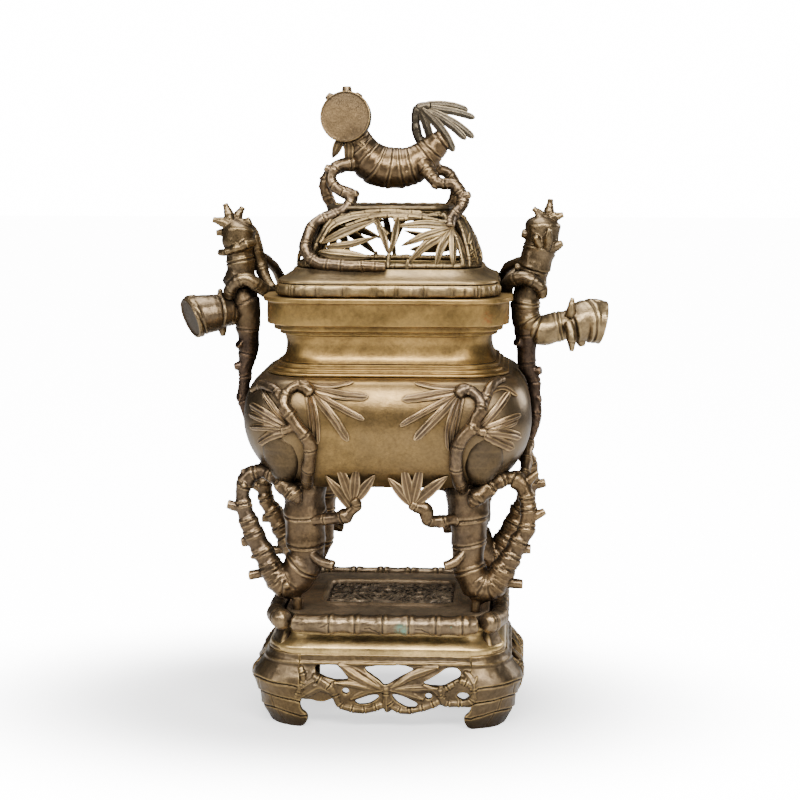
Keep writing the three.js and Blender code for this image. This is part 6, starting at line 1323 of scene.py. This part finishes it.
FT = corner_table(skirt, JX, JY, 0, 56.4)
L0 = float(np.interp(30, FT[0], FT[2]))
def foot(nm, sx, sy):
    out = [(-0.1, 56.3), (-0.1, 16.5), (-1.4, 13.5), (-4.3, 10.6), (-5.4, 8), (-4.6, 4.5), (-2.6, 1), (-0.5, 0), (L0 + 0.5, 0), (L0 + 2.6, 1), (L0 + 4.6, 4.5), (L0 + 5.4, 8), (L0 + 4.3, 10.6), (L0 + 1.4, 13.5), (L0 + 0.1, 16.5), (L0 + 0.1, 56.3)]
    if sy > 0:
        # the scrolls at the back stay close to the foot
        out = [(min(max(a, -0.6), L0 + 0.6), z) for a, z in out]
    parts = [slab(out, [], 0.0, 7.2)]
    e = []
    for t in np.linspace(0.2, L0 - 0.2, 24):
        e.append([t, 0.5, 50.2, 1.35])
    C, R, s = line(e, 0.8)
    parts.append(pipe(C, R, 12, 0))
    V, F = merge(parts)
    V, Q = remesh(V, F, 0.6)
    V = relax(V, Q, 4)
    N = normals(V, Q)
    s, d, z = V[:, 0], V[:, 1], V[:, 2]
    face = np.clip((2.6 - d) / 1.2, 0, 1)
    lift = np.sin(np.pi * np.clip(s / L0, 0, 1)) ** 0.7
    push = np.zeros(len(V))
    gro = np.zeros(len(V))
    for zj, zc, amp in ((32.0, 36.0, 0.9), (20.5, 24.6, 1.0), (9.5, 14.2, 0.9)):
        g = z - (zj + (zc - zj) * lift + 0.35 * np.sin(s / 5.0 + zj))
        # each fold overlaps the one below: a step with a dark line under it
        push += amp * face * (1.2 * np.exp(-np.maximum(g, 0) / 4.0) * (g > 0) + 0.12 * np.exp(-((g - 0.6) / 0.8) ** 2) - 1.5 * np.exp(-((g + 0.3) / 0.7) ** 2))
        gro = np.maximum(gro, face * np.clip(1.35 * np.exp(-((g + 0.35) / 0.95) ** 2), 0, 1))
    # long slanting cuts in the folds
    for s0, z0, s1, z1 in ((0.45, 24, 0.40, 15), (0.36, 12.0, 0.28, 2.0), (0.62, 34, 0.66, 26), (0.72, 12, 0.80, 2)):
        ax, az, bx, bz = s0 * L0, z0, s1 * L0, z1
        t = np.clip(((s - ax) * (bx - ax) + (z - az) * (bz - az)) / ((bx - ax) ** 2 + (bz - az) ** 2), 0, 1)
        dd = np.hypot(s - ax - t * (bx - ax), z - az - t * (bz - az))
        push -= 0.4 * face * np.exp(-(dd / 0.55) ** 2)
        gro = np.maximum(gro, 0.45 * face * np.exp(-(dd / 0.5) ** 2))
    # painted shadow: a dark line on the face just under the roll
    gro = np.maximum(gro, 0.75 * face * np.exp(-((z - 47.9) / 0.5) ** 2))
    seed = zlib.crc32(nm.encode()) & 0xFFFF
    V = V + N * (push + 0.13 * waves(V, 13, seed) + 0.04 * waves(V, 5, seed + 1))[:, None]
    V[:, 2] = np.clip(V[:, 2], 0.0, 56.3)
    W = corner_wrap(V, FT, L0, sx, 1)
    W[:, 1] *= -sy
    if sx * -sy < 0:
        Q = Q[:, ::-1]
    make(nm + "_v", W, Q, M_STAND, "stand", [nm], 60, groove=np.clip(gro, 0, 1), smooth_all=True)
for c, sx, sy in (("front_left", -1, -1), ("front_right", 1, -1), ("back_left", -1, 1), ("back_right", 1, 1)):
    foot("stand_foot_" + c, sx, sy)

# waist mouldings
def ring2(name, out, inn, mat, bevel=0.4, z0=None, smooth=0):
    o = smooth_prof(out, smooth) if smooth else list(out)
    V, F = loft(o + [(*inn, o[-1][3]), (*inn, o[0][3])], 260, True)
    return make(name + "_v", V, F, mat, "stand", [name], 34, bevel)
ring2("stand_waist", [(87.5, 71.9, 30.6, 55.6), (87.6, 72.1, 30.6, 56.7), (87.5, 72.3, 30.5, 57.9), (87.2, 72.2, 30.2, 59.4), (86.6, 71.8, 30, 61.0), (84.6, 70.2, 30, 63.2), (81.5, 67.5, 29, 66), (79.6, 66, 28, 69.0), (79.9, 66.3, 28, 71.5), (81, 67.5, 29, 73.6), (81, 67.5, 29, 76.2)], (68, 54, 24), M_WAIST, 0.2, smooth=4)

# at each corner the skirt sweeps up to the rail in a hollow curve
def post_rows(z):
    return [np.interp(z, (55.5, 58, 62, 66, 70, 74, 77), c) for c in ((88.6, 87.9, 86.2, 84.4, 83.0, 82.0, 81.6), (72.6, 72.4, 71.6, 70.4, 69.0, 68.2, 67.9), (31, 31, 30.6, 30.2, 29.8, 29.4, 29))]
def post(nm, sx, sy):
    tab = corner_table(post_rows, 57.6, 41.6, 55.5, 77)
    Lp = float(np.interp(66, tab[0], tab[2]))
    out = [(0.38, 55.8), (0.90, 55.8), (0.88, 60), (0.865, 65), (0.86, 70), (0.865, 76.8), (0.42, 76.8), (0.425, 70), (0.415, 65), (0.40, 60)]
    parts = [slab([(a * Lp, z) for a, z in out], [], 0.0, 8.5)]
    V, Q = remesh(*merge(parts), 0.7)
    V = relax(V, Q, 12)
    # the long edges roll back towards the waist
    mid = abs(V[:, 0] / Lp - 0.641)
    lim = np.interp(V[:, 2], (55.8, 60, 65, 70, 76.8), (0.26, 0.24, 0.225, 0.218, 0.222))
    k = np.clip((mid - lim + 0.075) / 0.075, 0, 1)
    V[:, 1] += np.clip(4 - V[:, 1], 0, 4) * 0.75 * k * k
    seed = zlib.crc32(nm.encode()) & 0xFFFF
    V = V + normals(V, Q) * (0.12 * waves(V, 12, seed) + 0.04 * waves(V, 5, seed + 1))[:, None]
    W = corner_wrap(V, tab, Lp, sx, 1)
    W[:, 1] *= -sy
    if sx * -sy < 0:
        Q = Q[:, ::-1]
    make(nm, W, Q, M_STAND, "stand", [], 60, smooth_all=True)
for c, sx, sy in (("front_left", -1, -1), ("front_right", 1, -1), ("back_left", -1, 1), ("back_right", 1, 1)):
    post("stand_corner_%s_v" % c, sx, sy)

# top plate with a sunk panel
V, F = loft([(74.0, 60.9, 26, 76.5), (75.0, 66.5, 27, 77.2), (75.4, 68.0, 27, 79), (75.2, 67.8, 27, 83.4), (74.4, 67.0, 27, 84.4), (53.0, 40.7, 13, 84.4, 3), (51.6, 39.4, 12, 85.3, 3), (50.4, 38.3, 11, 85.9, 3), (49.2, 37.2, 10, 85.9, 3), (48.2, 36.2, 9.5, 85.3, 3), (47.6, 35.6, 9, 83.9, 3), (47.5, 35.5, 9, 81.6, 3)], 260)
make("stand_top_plate_v", V, F, M_PLATE, "stand", ["stand_top_plate"], 34, 0.25)

nx, ny = 156, 116
rgp = rng_for("panel")
seeds = np.stack([rgp.uniform(-47, 47, 26), rgp.uniform(-36, 42, 26)], 1)
gx, gy = np.meshgrid(np.linspace(-46.9, 46.9, nx), np.linspace(-31.9, 37.9, ny))
P2 = np.stack([gx.ravel(), gy.ravel()], 1)
DD = np.hypot(P2[:, None, 0] - seeds[None, :, 0], P2[:, None, 1] - seeds[None, :, 1])
o_ = np.sort(DD, 1)
near = o_[:, 0]
wv = waves(np.c_[P2, np.zeros(len(P2))], 26, 77)
hgt = 0.85 * np.cos(near * 1.15 + wv * 1.6) + 0.55 * np.clip(1.6 - (o_[:, 1] - o_[:, 0]) * 0.5, 0, 1.6)
hgt += 0.25 * waves(np.c_[P2, np.zeros(len(P2))], 5, 78)
edge = np.minimum(46.9 - abs(P2[:, 0]), 34.9 - abs(P2[:, 1] - 3))
top = 81.95 + np.clip(hgt, -1.2, 1.9) * np.clip(edge / 1.5, 0, 1)
V = [(float(x), float(y), float(z)) for (x, y), z in zip(P2, top)]
F = [(j * nx + i, j * nx + i + 1, (j + 1) * nx + i + 1, (j + 1) * nx + i) for j in range(ny - 1) for i in range(nx - 1)]
rim = [i for i in range(nx)] + [j * nx + nx - 1 for j in range(1, ny)] + [(ny - 1) * nx + i for i in range(nx - 2, -1, -1)] + [j * nx for j in range(ny - 2, 0, -1)]
b0 = len(V)
V += [(V[k][0], V[k][1], 81.0 - 0.2) for k in rim]
m = len(rim)
F += [(rim[(k + 1) % m], rim[k], b0 + k, b0 + (k + 1) % m) for k in range(m)]
F.append(tuple(b0 + k for k in range(m - 1, -1, -1)))
G = np.r_[np.clip(1.0 - hgt * 1.5, 0, 1), np.zeros(m)]
make("stand_panel_v", V, F, M_DARK, "stand", ["stand_panel"], 60, groove=G)

# rails
RX, RY, RR = 82.7, 75.4, 30.0
def rail_pt(sx, sy, t):
    return [sx * (RX - RR + RR * math.sin(t)), sy * (RY - RR + RR * math.cos(t))]
def front_rail(nm, sy):
    t = math.radians(24)
    pts = [rail_pt(-1, sy, a) for a in (t, t * 0.6, t * 0.25)] + [[x, sy * RY] for x in (-40, -20, 0, 20, 40)] + [rail_pt(1, sy, a) for a in (t * 0.25, t * 0.6, t)]
    if sy > 0:
        pts = pts[::-1]
    e = [dict(k="t", p=[[*p, 80, 6.9] for p in pts], s=20)]
    C, R, s = line(e[0]["p"], 0.7)
    xs = [(px - 388) * 0.672 for px in (328, 356, 386, 414, 443, 471)]
    marks = [float(np.interp(x, C[:, 0], s)) for x in xs] if sy < 0 else [float(s[-1] * (k + 0.5) / 6) for k in range(6)]
    cast(nm, e, M_RAIL, "stand", 20, 0.58, lip=1.7, swell=1.7, knots=0.0, marks=marks, nicks=True, rough=0.7, broad=2.6)
def side_rail(nm, sx):
    ends = [(38, 2.2), (39.5, 4.6), (43, 6.5), (48, 7.2), (54, 7.0), (63, 6.4), (76, 6.3), (90, 6.3)]
    P = [[*rail_pt(sx, -1, math.radians(a)), 80, r] for a, r in ends] + [[sx * (RX + 0.3 * math.cos(y / 30)), y, 80, 6.3] for y in (-30, -10, 10, 30)] + [[*rail_pt(sx, 1, math.radians(a)), 80, r] for a, r in ends[::-1]]
    es = [dict(k="t", p=P, s=20)]
    cast(nm, es, M_RAIL, "stand", 19, 0.58, lip=1.5, swell=1.5, knots=0.0, rough=0.7, broad=2.2)
front_rail("stand_rail_front", -1)
front_rail("stand_rail_back", 1)
side_rail("stand_rail_left", -1)
side_rail("stand_rail_right", 1)

# ------------------------------------------------------------------ camera, light, floor
sc = bpy.context.scene
cam = bpy.data.cameras.new("cam")
cam.lens = 85.55
cam.sensor_width = 36
cam.sensor_fit = "HORIZONTAL"
cam.clip_start, cam.clip_end = 0.05, 50
co = bpy.data.objects.new("cam", cam)
sc.collection.objects.link(co)
pos = Vector((0.0895 + SX * MM, -1.409, 0.4353))
tgt = Vector((0.00657 + SX * MM, 0, 0.23317))
co.location = pos
co.rotation_euler = (tgt - pos).to_track_quat("-Z", "Y").to_euler()
sc.camera = co

def area(name, loc, size, power, col=(1, 1, 1), aim=(0, 0, 0.22), tall=None):
    l = bpy.data.lights.new(name, "AREA")
    l.size = size
    if tall:
        l.shape = "RECTANGLE"
        l.size_y = tall
    l.energy = power
    l.color = col
    o = bpy.data.objects.new(name, l)
    o.location = loc
    o.rotation_euler = (Vector(aim) - Vector(loc)).to_track_quat("-Z", "Y").to_euler()
    sc.collection.objects.link(o)
area("key", (0.15, -1.35, 1.30), 2.0, 86, (1, 0.985, 0.96), tall=0.40)
area("side", (1.0, -1.3, 0.75), 0.3, 9, (1, 0.985, 0.96))
area("left", (-1.25, -0.9, 0.8), 0.5, 10, (0.98, 0.98, 1))
area("top", (-0.1, 0.1, 1.6), 0.9, 34)
area("rim", (1.2, 0.75, 0.6), 0.5, 8)
w = bpy.data.worlds.new("world")
sc.world = w
w.use_nodes = True
bg = w.node_tree.nodes["Background"]
tcw = w.node_tree.nodes.new("ShaderNodeTexCoord")
sepw = w.node_tree.nodes.new("ShaderNodeSeparateXYZ")
rw = w.node_tree.nodes.new("ShaderNodeValToRGB")
rw.color_ramp.elements[0].position = 0.0
rw.color_ramp.elements[0].color = (0.06, 0.055, 0.05, 1)
rw.color_ramp.elements[1].position = 0.9
rw.color_ramp.elements[1].color = (1, 1, 1, 1)
w.node_tree.links.new(tcw.outputs["Generated"], sepw.inputs[0])
w.node_tree.links.new(sepw.outputs["Z"], rw.inputs[0])
lp = w.node_tree.nodes.new("ShaderNodeLightPath")
mixw = w.node_tree.nodes.new("ShaderNodeMix")
mixw.data_type = "RGBA"
w.node_tree.links.new(lp.outputs["Is Camera Ray"], mixw.inputs["Factor"])
w.node_tree.links.new(rw.outputs[0], [s for s in mixw.inputs if s.name == "A" and s.type == "RGBA"][0])
[s for s in mixw.inputs if s.name == "B" and s.type == "RGBA"][0].default_value = (1, 1, 1, 1)
w.node_tree.links.new([s for s in mixw.outputs if s.type == "RGBA"][0], bg.inputs["Color"])
mr = w.node_tree.nodes.new("ShaderNodeMapRange")
mr.inputs["To Min"].default_value = 0.20
mr.inputs["To Max"].default_value = 16.0
w.node_tree.links.new(lp.outputs["Is Camera Ray"], mr.inputs["Value"])
w.node_tree.links.new(mr.outputs[0], bg.inputs["Strength"])

me = bpy.data.meshes.new("floor")
me.from_pydata([(-6, -4, 0), (6, -4, 0), (6, 8, 0), (-6, 8, 0)], [], [(0, 1, 2, 3)])
fl = bpy.data.objects.new("floor", me)
sc.collection.objects.link(fl)
fm = bpy.data.materials.new("floor_paper")
fm.use_nodes = True
fb = fm.node_tree.nodes["Principled BSDF"]
fb.inputs["Base Color"].default_value = (0.6, 0.6, 0.6, 1)
fb.inputs["Roughness"].default_value = 0.9
fb.inputs["Specular IOR Level"].default_value = 0.1
fb.inputs["Emission Color"].default_value = (1, 1, 1, 1)
fN, fL = fm.node_tree.nodes, fm.node_tree.links
lpf = fN.new("ShaderNodeLightPath")
tcf = fN.new("ShaderNodeTexCoord")
mpf = fN.new("ShaderNodeMapping")
mpf.inputs["Location"].default_value = (0.05, 0.0, 0)
mpf.inputs["Scale"].default_value = (1.0, 1.5, 1)
fL.new(tcf.outputs["Object"], mpf.inputs["Vector"])
lnf = fN.new("ShaderNodeVectorMath")
lnf.operation = "LENGTH"
fL.new(mpf.outputs[0], lnf.inputs[0])
# painted shadow: the floor's glow for the camera drops in a pool round the stand, set a little to the left, and rises
# to white further out; the lamps' own shadow falls in the pool too
mrf = fN.new("ShaderNodeMapRange")
mrf.interpolation_type = "SMOOTHERSTEP"
mrf.inputs["From Min"].default_value = 0.10
mrf.inputs["From Max"].default_value = 0.42
mrf.inputs["To Min"].default_value = 1.3
mrf.inputs["To Max"].default_value = 14.0
fL.new(lnf.outputs["Value"], mrf.inputs["Value"])
mlf = fN.new("ShaderNodeMath")
mlf.operation = "MULTIPLY"
fL.new(mrf.outputs[0], mlf.inputs[0])
fL.new(lpf.outputs["Is Camera Ray"], mlf.inputs[1])
fL.new(mlf.outputs[0], fb.inputs["Emission Strength"])
me.materials.append(fm)

# CAD nodes that are still shown get the bronze too
for n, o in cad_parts.items():
    if not o.hide_render:
        o.data.materials.clear()
        o.data.materials.append(M_DARK if n in ("stand_panel", "stand_top_plate") else M_AGED)
